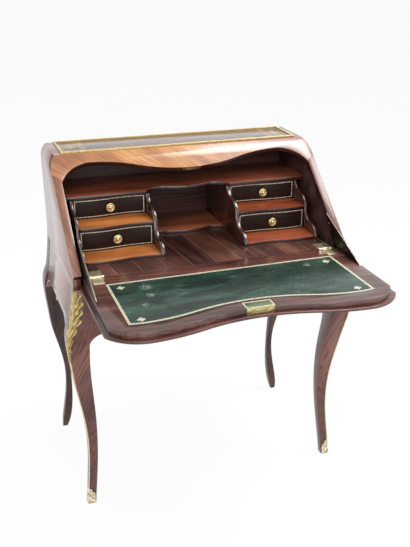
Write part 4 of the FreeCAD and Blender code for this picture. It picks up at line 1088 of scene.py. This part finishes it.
@dataclass(frozen=True)
class Fittings:
    """Hinges, lock, stays and the leather of the top.

    Attributes:
        screw_mm: Radius of a screw's head.
        head_mm: Depth of the head.
        slot_mm: Width and depth of its slot.
        sink_mm: How far the middle of the head lies under the writing surface.
        hinge_mm: Length of a hinge.
        stay_edge: A stay's face is part of its edge below this much of the normal's X.
        stay_over: A stay's face is an upper one past this much of the normal; upper edge faces take a
            painted highlight.
    """

    screw_mm: float = 2.5
    head_mm: float = 1.2
    head_soft_mm: float = 0.25
    slot_mm: float = 0.8
    sink_mm: float = 0.45
    hinge_mm: float = 40.0
    brass_soft_mm: float = 0.25
    case_soft_mm: float = 0.5
    stay_soft_mm: float = 0.6
    stay_edge: float = 0.3
    stay_over: float = 0.2
    leather_soft_mm: float = 0.3

    def screw(self) -> Object:
        """Models one countersunk screw head with its slot, at the origin, facing up.

        Returns:
            The head.
        """
        sizes = {"vertices": 24, "radius": self.screw_mm * MM, "depth": self.head_mm * MM}
        head = begin(bpy.ops.mesh.primitive_cylinder_add, "screw_head", **sizes)
        with editing(head, Pick.FACES):
            bpy.ops.mesh.bevel(offset=self.head_soft_mm * MM, segments=2)
        saw = begin(bpy.ops.mesh.primitive_cube_add, "screw_saw", size=1)
        slot = self.slot_mm * MM
        with editing(saw):
            bpy.ops.transform.resize(value=(10 * slot, slot, slot))
            bpy.ops.transform.translate(value=(0, 0, self.head_mm / 2 * MM))
        apply_modifier(head, "BOOLEAN", object=saw, operation="DIFFERENCE", solver="EXACT")
        bpy.data.objects.remove(saw)
        smooth(head)
        return head

    def screws(self, brass: Material) -> None:
        """Sets the screws of both hinges.

        Args:
            brass: Their metal.
        """
        pattern = self.screw()
        low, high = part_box("hinge_pins")
        axis = (low.y + high.y) / 2
        middle = high.x - self.hinge_mm / 2 * MM
        # Places on each leaf, in mm from the middle of the hinge and from its pin.
        plans = {
            Body.CARCASS: ((-13, 14), (13, 14), (0, 32)),
            Body.FALL: ((-8.5, -14), (8.5, -14), (0, -36)),
        }
        for body, spots in plans.items():
            for side in Side:
                for index, (x, y) in enumerate(spots):
                    place = (side.value * middle + x * MM, axis + y * MM, WRITING_LEVEL - self.sink_mm * MM)
                    # Each slot stands at an angle of its own.
                    turn = Matrix.Rotation(0.9 * index + 0.4 * side.value, 4, "Z")
                    name = f"screw_{body.value}_{side.word}_{index}"
                    piece = copy_at(pattern, name, Matrix.Translation(place) @ turn)
                    settle(piece, brass, body.value, "brass")
        bpy.data.objects.remove(pattern)

    def build(self, joiner: Joiner) -> None:
        """Eases and finishes hinges, lock, stays and the top's leather.

        Args:
            joiner: Makes the eased pieces.
        """
        # Pale worn yellow, scratched dull.
        brass = Metal("Worn brass", "#e8dcb6", "#b4a476", 0.4, patch_mm=12, relief=0.1).material()
        # The same metal gone olive, on the lock.
        olive = Metal("Tarnished brass", "#c2b484", "#867a4c", 0.4, patch_mm=10, relief=0.1).material()
        # Nearly black with a faint gleam.
        iron = Metal("Blackened iron", "#302e2f", "#171616", 0.38, patch_mm=22).material()
        # Pale grey line on the stays' upper edges: a painted highlight.
        rubbed = Metal("Rubbed iron edge", "#8d8276", "#38322d", 0.42, patch_mm=16).material()
        for node in ("hinge_floor_leaves", "hinge_fall_leaves", "hinge_pins"):
            joiner.ease(node, self.brass_soft_mm, brass)
        for node in ("strike_plate", "lock_plate", "lock_bolt", "escutcheon"):
            joiner.ease(node, self.brass_soft_mm, olive)
        joiner.ease("lock_case", self.case_soft_mm, iron)
        for side in Side:
            stay = joiner.ease(f"stay_{side.word}", self.stay_soft_mm, iron)
            # Upper edge faces take the pale painted highlight.
            dress_part(
                stay, rubbed, lambda normal: abs(normal.x) < self.stay_edge and normal.z > self.stay_over
            )
        self.screws(brass)
        # Brown leather that turns grey where it mirrors the room.
        brown = Leather("Brown skiver leather", "#3a271b", "#614737", "#94795f", rough=0.3, coat=0.9)
        joiner.ease("top_leather", self.leather_soft_mm, brown.material())


def arc(start: Point, end: Point, sag: float, steps: int) -> list[Point]:
    """Points along an arc of a circle, without its last one.

    Args:
        start: First point.
        end: Last point.
        sag: How far the arc's middle stands to the left of its chord.
        steps: Number of points.

    Returns:
        The points.
    """
    a, b = Vector(start), Vector(end)
    chord = b - a
    left = Vector((-chord.y, chord.x)).normalized()
    radius = (chord.length**2 / 4 + sag * sag) / (2 * sag)
    centre = (a + b) / 2 + left * (sag - radius)
    arm = a - centre
    turn = (b - centre).angle_signed(arm)
    points = []
    for i in range(steps):
        c, s = math.cos(turn * i / steps), math.sin(turn * i / steps)
        points.append((centre.x + arm.x * c - arm.y * s, centre.y + arm.x * s + arm.y * c))
    return points


def between(x: float, stops: Sequence[Point]) -> float:
    """Reads a smooth curve through given points.

    Args:
        x: Where to read it.
        stops: Points in rising order of x.

    Returns:
        The height of the curve.
    """
    if x <= stops[0][0]:
        return stops[0][1]
    for (x0, y0), (x1, y1) in zip(stops, stops[1:]):
        if x <= x1:
            return y0 + (y1 - y0) * gentle((x - x0) / (x1 - x0))
    return stops[-1][1]


def hill(x: float, middle: float, width: float) -> float:
    """A smooth hill that is 1 high at its middle."""
    return math.exp(-(((x - middle) / width) ** 2))


def rectangle(left: float, right: float, near: float, far: float) -> list[Point]:
    """The corners of a rectangle, from the near right one round by the back."""
    return [(right, near), (right, far), (left, far), (left, near)]


def outline_face(name: str, points: Sequence[Point], level: float) -> Object:
    """Makes a flat face from its outline.

    Args:
        name: Name of the piece.
        points: Corners in order, in metres.
        level: Height of the face.

    Returns:
        The piece, facing up.
    """
    piece = begin(bpy.ops.mesh.primitive_circle_add, name, vertices=len(points))
    for vertex, (x, y) in zip(piece.data.vertices, points):
        vertex.co = (x, y, level)
    with editing(piece):
        bpy.ops.mesh.edge_face_add()
    if piece.data.polygons[0].normal.z < 0:
        with editing(piece):
            bpy.ops.mesh.flip_normals()
    return piece


@dataclass(frozen=True)
class GiltMounts:
    """Cast and chased mounts of the front legs, drawers and top.

    Attributes:
        chute_widths: Heights along a chute with its reach on each face of the leg, in mm.
        lobes: Fronds along a chute.
        sweep: Rise of a frond from rib to edge, as a share of the chute's length.
        foot_mm: Lowest height at which a leg's corner is measured.
        knee_mm: Highest height at which it is measured.
        cast_mm: Thickness of a chute or a sabot.
        sabot_mm: Reach of a sabot on each face of the leg.
        knob_profile: Depth and radius along a knob's turned outline, in mm.
        knob_seat_mm: From a CAD knob's face back to where the knob sits.
        tip_mm: Half the length, width and height of a leaf tip.
        tip_taper: Share by which a tip narrows to one end and widens to the other.
        tip_drop_mm: How far a tip's middle lies under the moulding's top.
        bed_mm: How much lower than in CAD the ground between the tips is.
        bed_edge_mm: Points this close to the moulding's top are lowered.
    """

    chute_widths: tuple[Point, ...] = (
        (451, 2.2), (470, 5.0), (500, 11.0), (530, 18.0), (565, 25.0),
        (600, 24.0), (625, 19.0), (638, 13.0), (646, 6.0),
    )
    lobes: float = 8.0
    sweep: float = 0.16
    foot_mm: float = 2.0
    knee_mm: float = 645.0
    cast_mm: float = 1.2
    sabot_mm: float = 19.0
    fillet_soft_mm: float = 0.3
    knob_profile: tuple[Point, ...] = (
        (0.0, 5.2), (-0.8, 6.6), (-1.8, 6.0), (-2.6, 4.2), (-4.4, 4.0), (-5.6, 8.0), (-6.8, 11.2),
        (-8.2, 12.0), (-9.6, 11.5), (-10.2, 10.4), (-9.4, 9.3), (-8.4, 8.7), (-9.6, 8.0), (-11.2, 6.9),
        (-11.6, 5.8), (-10.8, 4.8), (-9.9, 4.3), (-11.4, 3.7), (-13.0, 2.6), (-13.8, 1.3), (-14.0, 0.0),
    )
    knob_seat_mm: float = 15.0
    tip_pitch_mm: float = 6.5
    tip_mm: tuple[float, float, float] = (2.9, 2.0, 1.3)
    tip_taper: float = 0.35
    tip_drop_mm: float = 1.35
    bed_mm: float = 1.2
    bed_edge_mm: float = 0.5
    bed_soft_mm: float = 0.4

    def sheet(self, name: str, side: Side, rows: int, columns: int, shape: Chasing) -> Object:
        """Models a chased casting from a grid.

        Args:
            name: Name of the piece.
            side: Which leg it clasps.
            rows: Steps along the casting.
            columns: Steps across it.
            shape: Gives the place and the height of the chasing, from 0 to 1, for
                (across from -1 to 1, along from 0 to 1).

        Returns:
            The casting.
        """
        steps = {"x_subdivisions": columns, "y_subdivisions": rows, "size": 2}
        piece = begin(bpy.ops.mesh.primitive_grid_add, name, **steps)
        relief = piece.data.attributes.new("relief", "FLOAT", "POINT")
        for vertex in piece.data.vertices:
            place, height = shape(vertex.co.x, (vertex.co.y + 1) / 2)
            vertex.co = place
            relief.data[vertex.index].value = height
        facing = Vector((0, 0, 0))
        for polygon in piece.data.polygons:
            facing += polygon.normal * polygon.area
        if facing.dot(Vector((side.value, -1, 0))) < 0:
            with editing(piece):
                bpy.ops.mesh.flip_normals()
        apply_modifier(piece, "SOLIDIFY", thickness=self.cast_mm * MM, offset=-1.0)
        smooth(piece, 60)
        return piece

    def clasp(self, arris: Arris, across: float, z_mm: float, reach_mm: float, rise_mm: float) -> Vector:
        """Wraps one point of a mount round the leg's outer front corner.

        Args:
            arris: The corner.
            across: From -1 to 1, negative on the front face and positive on the outer face.
            z_mm: Height of the point.
            reach_mm: Width of the mount on each face.
            rise_mm: Height above the wood.

        Returns:
            The place.
        """
        x, y = arris.at(clamp(z_mm, self.foot_mm, self.knee_mm) * MM)
        x -= arris.sign * max(0.0, -across) * reach_mm * MM
        y += max(0.0, across) * reach_mm * MM
        # The rise turns from the front face to the outer one over the middle half of the mount.
        turn = math.pi / 4 * (1 + clamp(across * 4, -1.0, 1.0))
        rise = rise_mm * MM
        return Vector((x + arris.sign * math.sin(turn) * rise, y - math.cos(turn) * rise, z_mm * MM))

    def chute(self, side: Side) -> Object:
        """Models the leaf that clasps one front knee, its fronds swept up and out.

        Args:
            side: Which knee.

        Returns:
            The leaf.
        """
        arris = Arris(side)
        tip, top = self.chute_widths[0][0], self.chute_widths[-1][0]
        skin_mm, rib_mm, frond_mm, droop_mm, full_mm = 1.6, 1.5, 1.15, 8.0, 16.0

        def shape(s: float, t: float) -> tuple[Vector, float]:
            """Shapes one point of the leaf.

            Args:
                s: Place across, from -1 to 1.
                t: Place along, from 0 to 1.

            Returns:
                Where the point goes and the height of its chasing.
            """
            off = abs(s)
            z = tip + (top - tip) * t
            wide = between(z, self.chute_widths)
            finger = math.cos(math.pi * self.lobes * (t - self.sweep)) ** 2
            reach = wide * (0.62 + 0.38 * finger**0.7)
            z = min(z + min(droop_mm, wide * 0.4) * off**2, top)
            vein = math.cos(2 * math.pi * self.lobes * (t - self.sweep * off))
            fine = 0.3 * math.cos(6 * math.pi * self.lobes * (t - 1.4 * self.sweep * off))
            frond = (vein + fine) * min(1.0, off * 2.2) * (1 - 0.4 * off)
            rib = hill(off, 0.0, 0.12)
            rise = skin_mm + (rib_mm * rib + frond_mm * frond) * min(1.0, wide / full_mm)
            return self.clasp(arris, s, z, reach, rise), clamp(0.55 + 0.45 * frond + 0.4 * rib)

        return self.sheet(f"chute_leaf_{side.word}", side, 120, 30, shape)

    def sabot(self, side: Side) -> Object:
        """Models the leafy shoe round the outer corner of one front foot.

        Args:
            side: Which foot.

        Returns:
            The shoe.
        """
        arris = Arris(side)
        sole_mm, low_mm, peak_mm, scallop_mm = 0.4, 25.0, 27.0, 5.0
        skin_mm, toe_mm, flute_mm, fold_mm, roll_mm = 1.7, 3.2, 0.6, 0.45, 1.0

        def shape(s: float, t: float) -> tuple[Vector, float]:
            """Shapes one point of the shoe.

            Args:
                s: Place across, from -1 to 1.
                t: Place along, from 0 to 1.

            Returns:
                Where the point goes and the height of its chasing.
            """
            off = abs(s)
            top = low_mm + peak_mm * (1 - off) ** 1.3 + scallop_mm * abs(math.cos(2.5 * math.pi * s))
            z = sole_mm + top * t
            toe = hill(z, 8.0, 8.0) * (1 - 0.7 * off)
            flute = math.cos(5 * math.pi * s) * min(1.0, t * 3)
            fold = math.cos(2 * math.pi * (2.5 * t + 0.6 * off))
            roll = hill(t, 0.93, 0.06)
            rise = skin_mm + toe_mm * toe + flute_mm * flute + fold_mm * fold + roll_mm * roll
            height = clamp(0.55 + 0.25 * flute + 0.25 * fold + 0.3 * roll)
            return self.clasp(arris, s, z, self.sabot_mm, rise), height

        return self.sheet(f"sabot_leaf_{side.word}", side, 44, 44, shape)

    def knob(self) -> Object:
        """Models one turned and chased rosette knob at the origin, its face towards -Y.

        Returns:
            The knob.
        """
        count = len(self.knob_profile)
        piece = begin(bpy.ops.mesh.primitive_circle_add, "knob_rosette", vertices=count)
        for vertex, (y, radius) in zip(piece.data.vertices, self.knob_profile):
            vertex.co = (radius * MM, y * MM, 0)
        closing = {0, count - 1}
        for edge in piece.data.edges:
            edge.select = set(edge.vertices) == closing
        for vertex in piece.data.vertices:
            vertex.select = vertex.index in closing
        with editing(piece, Pick.EDGES, whole=False):
            bpy.ops.mesh.delete(type="EDGE")
            bpy.ops.mesh.select_all(action="SELECT")
            bpy.ops.mesh.spin(steps=48, angle=2 * math.pi, center=(0, 0, 0), axis=(0, 1, 0))
            bpy.ops.mesh.select_all(action="SELECT")
            bpy.ops.mesh.remove_doubles(threshold=0.02 * MM)
            face_outwards()
        face_mm, rim_mm, petal_mm, grooves_mm = -7.5, 10.6, 6.4, (8.7, 4.4)
        relief = piece.data.attributes.new("relief", "FLOAT", "POINT")
        for vertex in piece.data.vertices:
            radius = math.hypot(vertex.co.x, vertex.co.z) / MM
            angle = math.atan2(vertex.co.z, vertex.co.x)
            height = 0.75
            if vertex.co.y < face_mm * MM:
                rim = 0.5 * math.cos(16 * angle) * hill(radius, rim_mm, 1.2)
                petal = 0.6 * math.cos(8 * angle) * hill(radius, petal_mm, 1.3)
                vertex.co.y -= (rim + petal) * MM
                groove = sum(hill(radius, middle, 0.6) for middle in grooves_mm)
                height = clamp(0.8 + 0.4 * (rim + petal) - 0.9 * groove)
            relief.data[vertex.index].value = height
        smooth(piece, 70)
        return piece

    def leaf_tips(self) -> Object:
        """Models the row of leaf tips along the top moulding.

        Returns:
            The row.
        """
        low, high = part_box("top_moulding")
        half = (high.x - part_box("top_leather")[1].x) / 2
        tip = begin(bpy.ops.mesh.primitive_uv_sphere_add, "leaf_tip", segments=8, ring_count=6)
        with editing(tip):
            bpy.ops.transform.resize(value=[size * MM for size in self.tip_mm])
        for vertex in tip.data.vertices:
            vertex.co.y *= 1 - self.tip_taper * vertex.co.x / (self.tip_mm[0] * MM)
        smooth(tip, 60)
        path = rectangle(low.x + half, high.x - half, low.y + half, high.y - half)
        level = high.z - self.tip_drop_mm * MM
        return lay_along(tip, path, level, self.tip_pitch_mm, "moulding_leaf_tips")

    def moulding(self, joiner: Joiner, gilt: Material) -> None:
        """Finishes the top moulding: a flat bed, lower than the CAD one, under a row of leaf tips.

        Args:
            joiner: Makes the eased piece.
            gilt: The gilding of the tips.
        """
        # Brown tarnish in the ground between the leaf tips.
        ground = Metal("Gilt bronze, tarnished ground", "#b09a6c", "#6a5534", 0.42, patch_mm=6)
        bed = joiner.ease("top_moulding", self.bed_soft_mm, ground.material())
        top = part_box("top_moulding")[1].z
        for vertex in bed.data.vertices:
            if vertex.co.z > top - self.bed_edge_mm * MM:
                vertex.co.z -= self.bed_mm * MM
        settle(self.leaf_tips(), gilt, Body.CARCASS.value, "gilt_bronze")

    def build(self, joiner: Joiner) -> None:
        """Models, dresses and sets every mount.

        Args:
            joiner: Makes the eased pieces.
        """
        # Warm yellow gilding, brown in the hollows of the chasing.
        chased = Metal("Gilt bronze, chased", "#c6b077", "#544220", 0.38, chased=True).material()
        # The same gilding worn pale.
        pale = Metal("Gilt bronze, worn", "#dccfab", "#8d7a52", 0.4, patch_mm=5).material()
        # Silvery cream where shoes and brooms rubbed the gilding off.
        rubbed = Metal("Gilt bronze, rubbed", "#f2e9d2", "#9d8a62", 0.36, chased=True).material()
        for side in Side:
            carcass = Body.CARCASS.value
            settle(self.chute(side), chased, carcass, "gilt_bronze", f"chute_{side.word}")
            settle(self.sabot(side), rubbed, carcass, "gilt_bronze", f"sabot_{side.word}")
            joiner.ease(f"leg_fillet_{side.word}", self.fillet_soft_mm, pale)
        # Brightest where fingers keep the knobs clean.
        handled = Metal("Gilt bronze, handled", "#ecd9a6", "#7c653a", 0.34, chased=True).material()
        pattern = self.knob()
        for drawer in DRAWERS:
            low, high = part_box(f"{drawer}_knob")
            seat = ((low.x + high.x) / 2, low.y + self.knob_seat_mm * MM, (low.z + high.z) / 2)
            piece = copy_at(pattern, f"{drawer}_rosette", Matrix.Translation(seat))
            settle(piece, handled, drawer, "gilt_bronze", f"{drawer}_knob")
        bpy.data.objects.remove(pattern)
        self.moulding(joiner, pale)


@dataclass(frozen=True)
class Tooling:
    """Gold tooling on the leather of the fall and of the top.

    Attributes:
        corner_mm: Y of the writing leather's front corners.
        crest: Where the serpentine front edge begins, in mm.
        bend: Where its curve changes over.
        dip: Its middle.
        bulge_mm: How far the curve stands out between crest and bend.
        hollow_mm: How far it falls in between bend and dip.
        arc_steps: Points along each of the two arcs.
        rise_mm: How far the gold stands proud.
        margins_mm: Distances of the border's two lines from the leather's edge.
        stamp_inset_mm: Distance of the row of stamps from that edge.
        stamp_mm: Reach of a stamp's long and short points.
        flowers: Places of the flowers on the fall, in mm.
        flower_mm: Reach of their petals.
        top_share: Width of the top's end panels as a share of its depth.
    """

    corner_mm: float = -319.5
    crest: Point = (270.0, -323.5)
    bend: Point = (140.0, -303.2)
    dip: Point = (0.0, -282.5)
    bulge_mm: float = 5.0
    hollow_mm: float = 5.2
    arc_steps: int = 14
    rise_mm: float = 0.14
    margins_mm: tuple[float, float] = (0.5, 4.7)
    line_mm: float = 1.3
    stamp_inset_mm: float = 3.1
    stamp_pitch_mm: float = 4.6
    stamp_mm: tuple[float, float] = (1.7, 1.0)
    flowers: tuple[Point, ...] = ((-272, -122), (272, -124), (-269, -302), (266, -300))
    flower_mm: float = 9.5
    tongue_margin_mm: float = 0.6
    tongue_line_mm: float = 2.2
    top_margin_mm: float = 3.0
    top_line_mm: float = 1.4
    top_flower_mm: float = 14.0
    top_share: float = 0.5

    def leather_outline(self, inset_mm: float = 0.0) -> list[Point]:
        """The outline of the writing leather.

        Args:
            inset_mm: How far inside the edge.

        Returns:
            Its points in metres, from the hinge's right corner round by the front.
        """
        side, near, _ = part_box("fall_leather")[1] / MM
        half = [(side, near), (side, self.corner_mm)]
        half += arc(self.crest, self.bend, self.bulge_mm, self.arc_steps)
        half += arc(self.bend, self.dip, -self.hollow_mm, self.arc_steps)
        whole = [Vector(point) for point in half + [self.dip] + [(-x, y) for x, y in reversed(half)]]
        moved = []
        for before, here, after in zip(whole[-1:] + whole[:-1], whole, whole[1:] + whole[:1]):
            there = (here - before).normalized()
            away = (after - here).normalized()
            normal = Vector((there.y + away.y, -there.x - away.x)).normalized()
            reach = inset_mm / max(0.3, normal.dot(Vector((there.y, -there.x))))
            moved.append(((here.x + normal.x * reach) * MM, (here.y + normal.y * reach) * MM))
        return moved

    def line(
        self, name: str, points: Sequence[Point], level: float, margin_mm: float, width_mm: float
    ) -> Object:
        """Models a raised line that follows an outline.

        Args:
            name: Name of the piece.
            points: The outline, in metres.
            level: Height of the leather.
            margin_mm: Distance of the line from the outline.
            width_mm: Width of the line.

        Returns:
            The line.
        """
        piece = outline_face(name, points, level)
        with editing(piece, Pick.FACES):
            if margin_mm:
                bpy.ops.mesh.inset(thickness=margin_mm * MM, use_even_offset=True)
                bpy.ops.mesh.select_all(action="INVERT")
                bpy.ops.mesh.delete(type="FACE")
                bpy.ops.mesh.select_all(action="SELECT")
            bpy.ops.mesh.inset(thickness=width_mm * MM, use_even_offset=True)
            bpy.ops.mesh.delete(type="FACE")
            bpy.ops.mesh.select_all(action="SELECT")
            raise_faces(self.rise_mm)
        return piece

    def stamps(self) -> Object:
        """Models the row of small stamped lozenges between the two lines of the border.

        Returns:
            The row.
        """
        stamp = begin(bpy.ops.mesh.primitive_circle_add, "stamp", vertices=8, fill_type="NGON")
        for index, vertex in enumerate(stamp.data.vertices):
            vertex.co *= self.stamp_mm[index % 2] * MM
        with editing(stamp, Pick.FACES):
            raise_faces(self.rise_mm)
        path = self.leather_outline(self.stamp_inset_mm)
        return lay_along(stamp, path, WRITING_LEVEL, self.stamp_pitch_mm, "leather_stamps")

    def flower(self, name: str, x: float, y: float, level: float, size_mm: float) -> Object:
        """Models one stamped flower of four petals.

        Args:
            name: Name of the piece.
            x: Where it lies, in metres.
            y: Where it lies, in metres.
            level: Height of the leather.
            size_mm: Reach of a petal.

        Returns:
            The flower.
        """
        count = 64
        points = []
        for angle in (2 * math.pi * index / count for index in range(count)):
            reach = size_mm * MM * (0.4 + 0.6 * abs(math.cos(2 * angle)) ** 0.8)
            points.append((x + reach * math.cos(angle), y + reach * math.sin(angle)))
        return self.line(name, points, level, 0.0, size_mm * 0.2)

    def on_fall(self) -> list[Object]:
        """Models the border, the stamps and the flowers of the writing leather.

        Returns:
            The pieces.
        """
        pieces = [self.stamps()]
        for index, margin in enumerate(self.margins_mm):
            name = f"leather_line_{index}"
            pieces.append(self.line(name, self.leather_outline(), WRITING_LEVEL, margin, self.line_mm))
        for index, (x, y) in enumerate(self.flowers):
            name = f"leather_flower_{index}"
            pieces.append(self.flower(name, x * MM, y * MM, WRITING_LEVEL, self.flower_mm))
        low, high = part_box("lock_cover")
        tongue = rectangle(low.x, high.x, low.y, high.y)
        margin, width = self.tongue_margin_mm, self.tongue_line_mm
        pieces.append(self.line("tongue_line", tongue, WRITING_LEVEL, margin, width))
        return pieces

    def on_top(self) -> list[Object]:
        """Models the lines and the flowers of the top's three panels.

        Returns:
            The pieces.
        """
        pieces = []
        low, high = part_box("top_leather")
        end = (high.y - low.y) * self.top_share
        ends = (low.x, low.x + end, high.x - end, high.x)
        for index, (left, right) in enumerate(zip(ends, ends[1:])):
            panel = rectangle(left, right, low.y, high.y)
            margin, width = self.top_margin_mm, self.top_line_mm
            pieces.append(self.line(f"top_line_{index}", panel, high.z, margin, width))
            if left == low.x or right == high.x:
                x, y = (left + right) / 2, (low.y + high.y) / 2
                pieces.append(self.flower(f"top_flower_{index}", x, y, high.z, self.top_flower_mm))
        return pieces

    def build(self) -> None:
        """Lays the gold on both leathers."""
        leaf = {"patch_mm": 5, "relief": 0.05, "metallic": 0.2}
        # Cream gold leaf, rubbed through in places.
        gold = Metal("Gold leaf tooling", "#f4ecd0", "#b5aa80", 0.42, **leaf)
        # The same gold on the top, faded to the colour of straw.
        straw = Metal("Faded gold tooling", "#cbb48e", "#927857", 0.45, **leaf)
        for pieces, body, metal in (
            (self.on_fall(), Body.FALL, gold.material()),
            (self.on_top(), Body.CARCASS, straw.material()),
        ):
            for piece in pieces:
                settle(piece, metal, body.value, "gilt_bronze")


@dataclass(frozen=True)
class Studio:
    """White floor and world, soft light and the camera of the photograph.

    Attributes:
        eye: Where the camera stands, in metres.
        yaw: Turn of its view about the upright, in degrees.
        pitch: How far it looks down, in degrees.
        roll: How far it leans, in degrees.
        focal_px: Focal length in pixels of the photograph.
        middle_px: Where the lens's axis meets the photograph.
        frame_px: Size of the photograph.
        floor_m: Width of the floor.
    """

    eye: tuple[float, float, float] = (-0.646, -1.7983, 1.4271)
    yaw: float = -19.679
    pitch: float = 22.617
    roll: float = 0.476
    focal_px: float = 782.78
    middle_px: Point = (209.98, 271.28)
    frame_px: Point = (410.0, 547.0)
    floor_m: float = 160.0

    def camera(self) -> None:
        """Sets the camera where the photograph was taken from."""
        yaw, pitch, roll = (math.radians(angle) for angle in (self.yaw, self.pitch, self.roll))
        right = Vector((math.cos(yaw), math.sin(yaw), 0))
        level = Vector((-math.sin(yaw), math.cos(yaw), 0))
        up = Vector((0, 0, 1))
        ahead = level * math.cos(pitch) - up * math.sin(pitch)
        over = level * math.sin(pitch) + up * math.cos(pitch)
        across = right * math.cos(roll) + over * math.sin(roll)
        upward = over * math.cos(roll) - right * math.sin(roll)
        lens = bpy.data.cameras.new("photograph")
        wide, tall = self.frame_px
        lens.sensor_width = 36.0
        lens.lens = self.focal_px * lens.sensor_width / tall
        lens.shift_x = (wide / 2 - self.middle_px[0]) / tall
        lens.shift_y = (self.middle_px[1] - tall / 2) / tall
        camera = bpy.data.objects.new("photograph", lens)
        bpy.context.scene.collection.objects.link(camera)
        turn = Matrix((across, upward, -ahead)).transposed().to_4x4()
        camera.matrix_world = Matrix.Translation(self.eye) @ turn
        bpy.context.scene.camera = camera

    def lamp(
        self, name: str, place: Sequence[float], aim: Sequence[float], size: float, watts: float
    ) -> None:
        """Adds one soft lamp.

        Args:
            name: Name of the lamp.
            place: Where it stands.
            aim: The point it faces.
            size: Width of its face in metres.
            watts: Its power.
        """
        light = bpy.data.lights.new(name, "AREA")
        light.shape = "SQUARE"
        light.size = size
        light.energy = watts
        lamp = bpy.data.objects.new(name, light)
        bpy.context.scene.collection.objects.link(lamp)
        way = Vector(aim) - Vector(place)
        lamp.location = place
        lamp.rotation_euler = way.to_track_quat("-Z", "Y").to_euler()

    def seen(self, tree: NodeTree) -> NodeSocket:
        """A value of one for rays from the camera, a gloss or a glass, and nought for others.

        Args:
            tree: Node tree to add it to.

        Returns:
            The value.
        """
        value = add_node(tree, "LightPath", "Is Camera Ray")
        for word in ("Is Glossy Ray", "Is Transmission Ray"):
            other = add_node(tree, "LightPath", word)
            value = add_node(tree, "Math", "Value", {0: value, 1: other}, operation="MAXIMUM")
        return value

    def floor(self) -> None:
        """Lays the white floor, which keeps a soft shadow under the desk."""
        plane = begin(bpy.ops.mesh.primitive_plane_add, "studio_floor", size=self.floor_m)
        # Matt white paper, lit so evenly that only a faint shadow shows on it.
        material, tree, shader = new_material("White studio floor")
        tree.nodes.remove(shader)
        matt = add_node(tree, "BsdfDiffuse", "BSDF", {"Color": linear("#fafafa")})
        glow = add_node(tree, "Emission", "Emission", {"Color": linear("#ffffff"), "Strength": 1.0})
        share = add_node(tree, "Math", "Value", {0: self.seen(tree), 1: 0.9}, operation="MULTIPLY")
        both = add_node(tree, "MixShader", "Shader", {0: share, 1: matt, 2: glow})
        feed(tree.nodes["Material Output"], {"Surface": both})
        dress(plane, material)

    def world(self) -> None:
        """Makes the surroundings white to the eye and to gloss, and softer as a light."""
        world = bpy.data.worlds.new("White studio")
        bpy.context.scene.world = world
        world.use_nodes = True
        tree = world.node_tree
        dimmed = {"To Min": 0.55, "To Max": 1.0, "Value": self.seen(tree)}
        strength = add_node(tree, "MapRange", "Result", dimmed)
        feed(tree.nodes["Background"], {"Color": linear("#ffffff"), "Strength": strength})

    def build(self) -> None:
        """Sets up floor, world, lamps and camera."""
        bpy.context.scene.view_settings.view_transform = "Standard"
        self.floor()
        self.world()
        self.lamp("key", place=(-1.6, -2.4, 2.6), aim=(0, 0, 0.65), size=2.2, watts=46)
        self.lamp("fill", place=(2.2, -1.6, 1.8), aim=(0, 0, 0.7), size=2.0, watts=14)
        self.lamp("front", place=(-0.3, -3.6, 1.3), aim=(0, 0, 0.65), size=2.2, watts=40)
        self.lamp("side", place=(-3.0, 0.9, 1.5), aim=(-0.37, 0.1, 0.75), size=2.4, watts=32)
        self.lamp("over", place=(1.36, -0.05, 2.85), aim=(0.3, 0.0, 0.85), size=1.2, watts=56)
        self.camera()


def main() -> None:
    """Builds and dresses the desk, piece by piece."""
    logging.basicConfig(level=logging.INFO, format="%(name)s: %(message)s")
    joiner = Joiner()
    for assembly in (Case(), Fall(), Fittings(), GiltMounts()):
        assembly.build(joiner)
    Tooling().build()
    Studio().build()


if __name__ == "__main__":
    main()
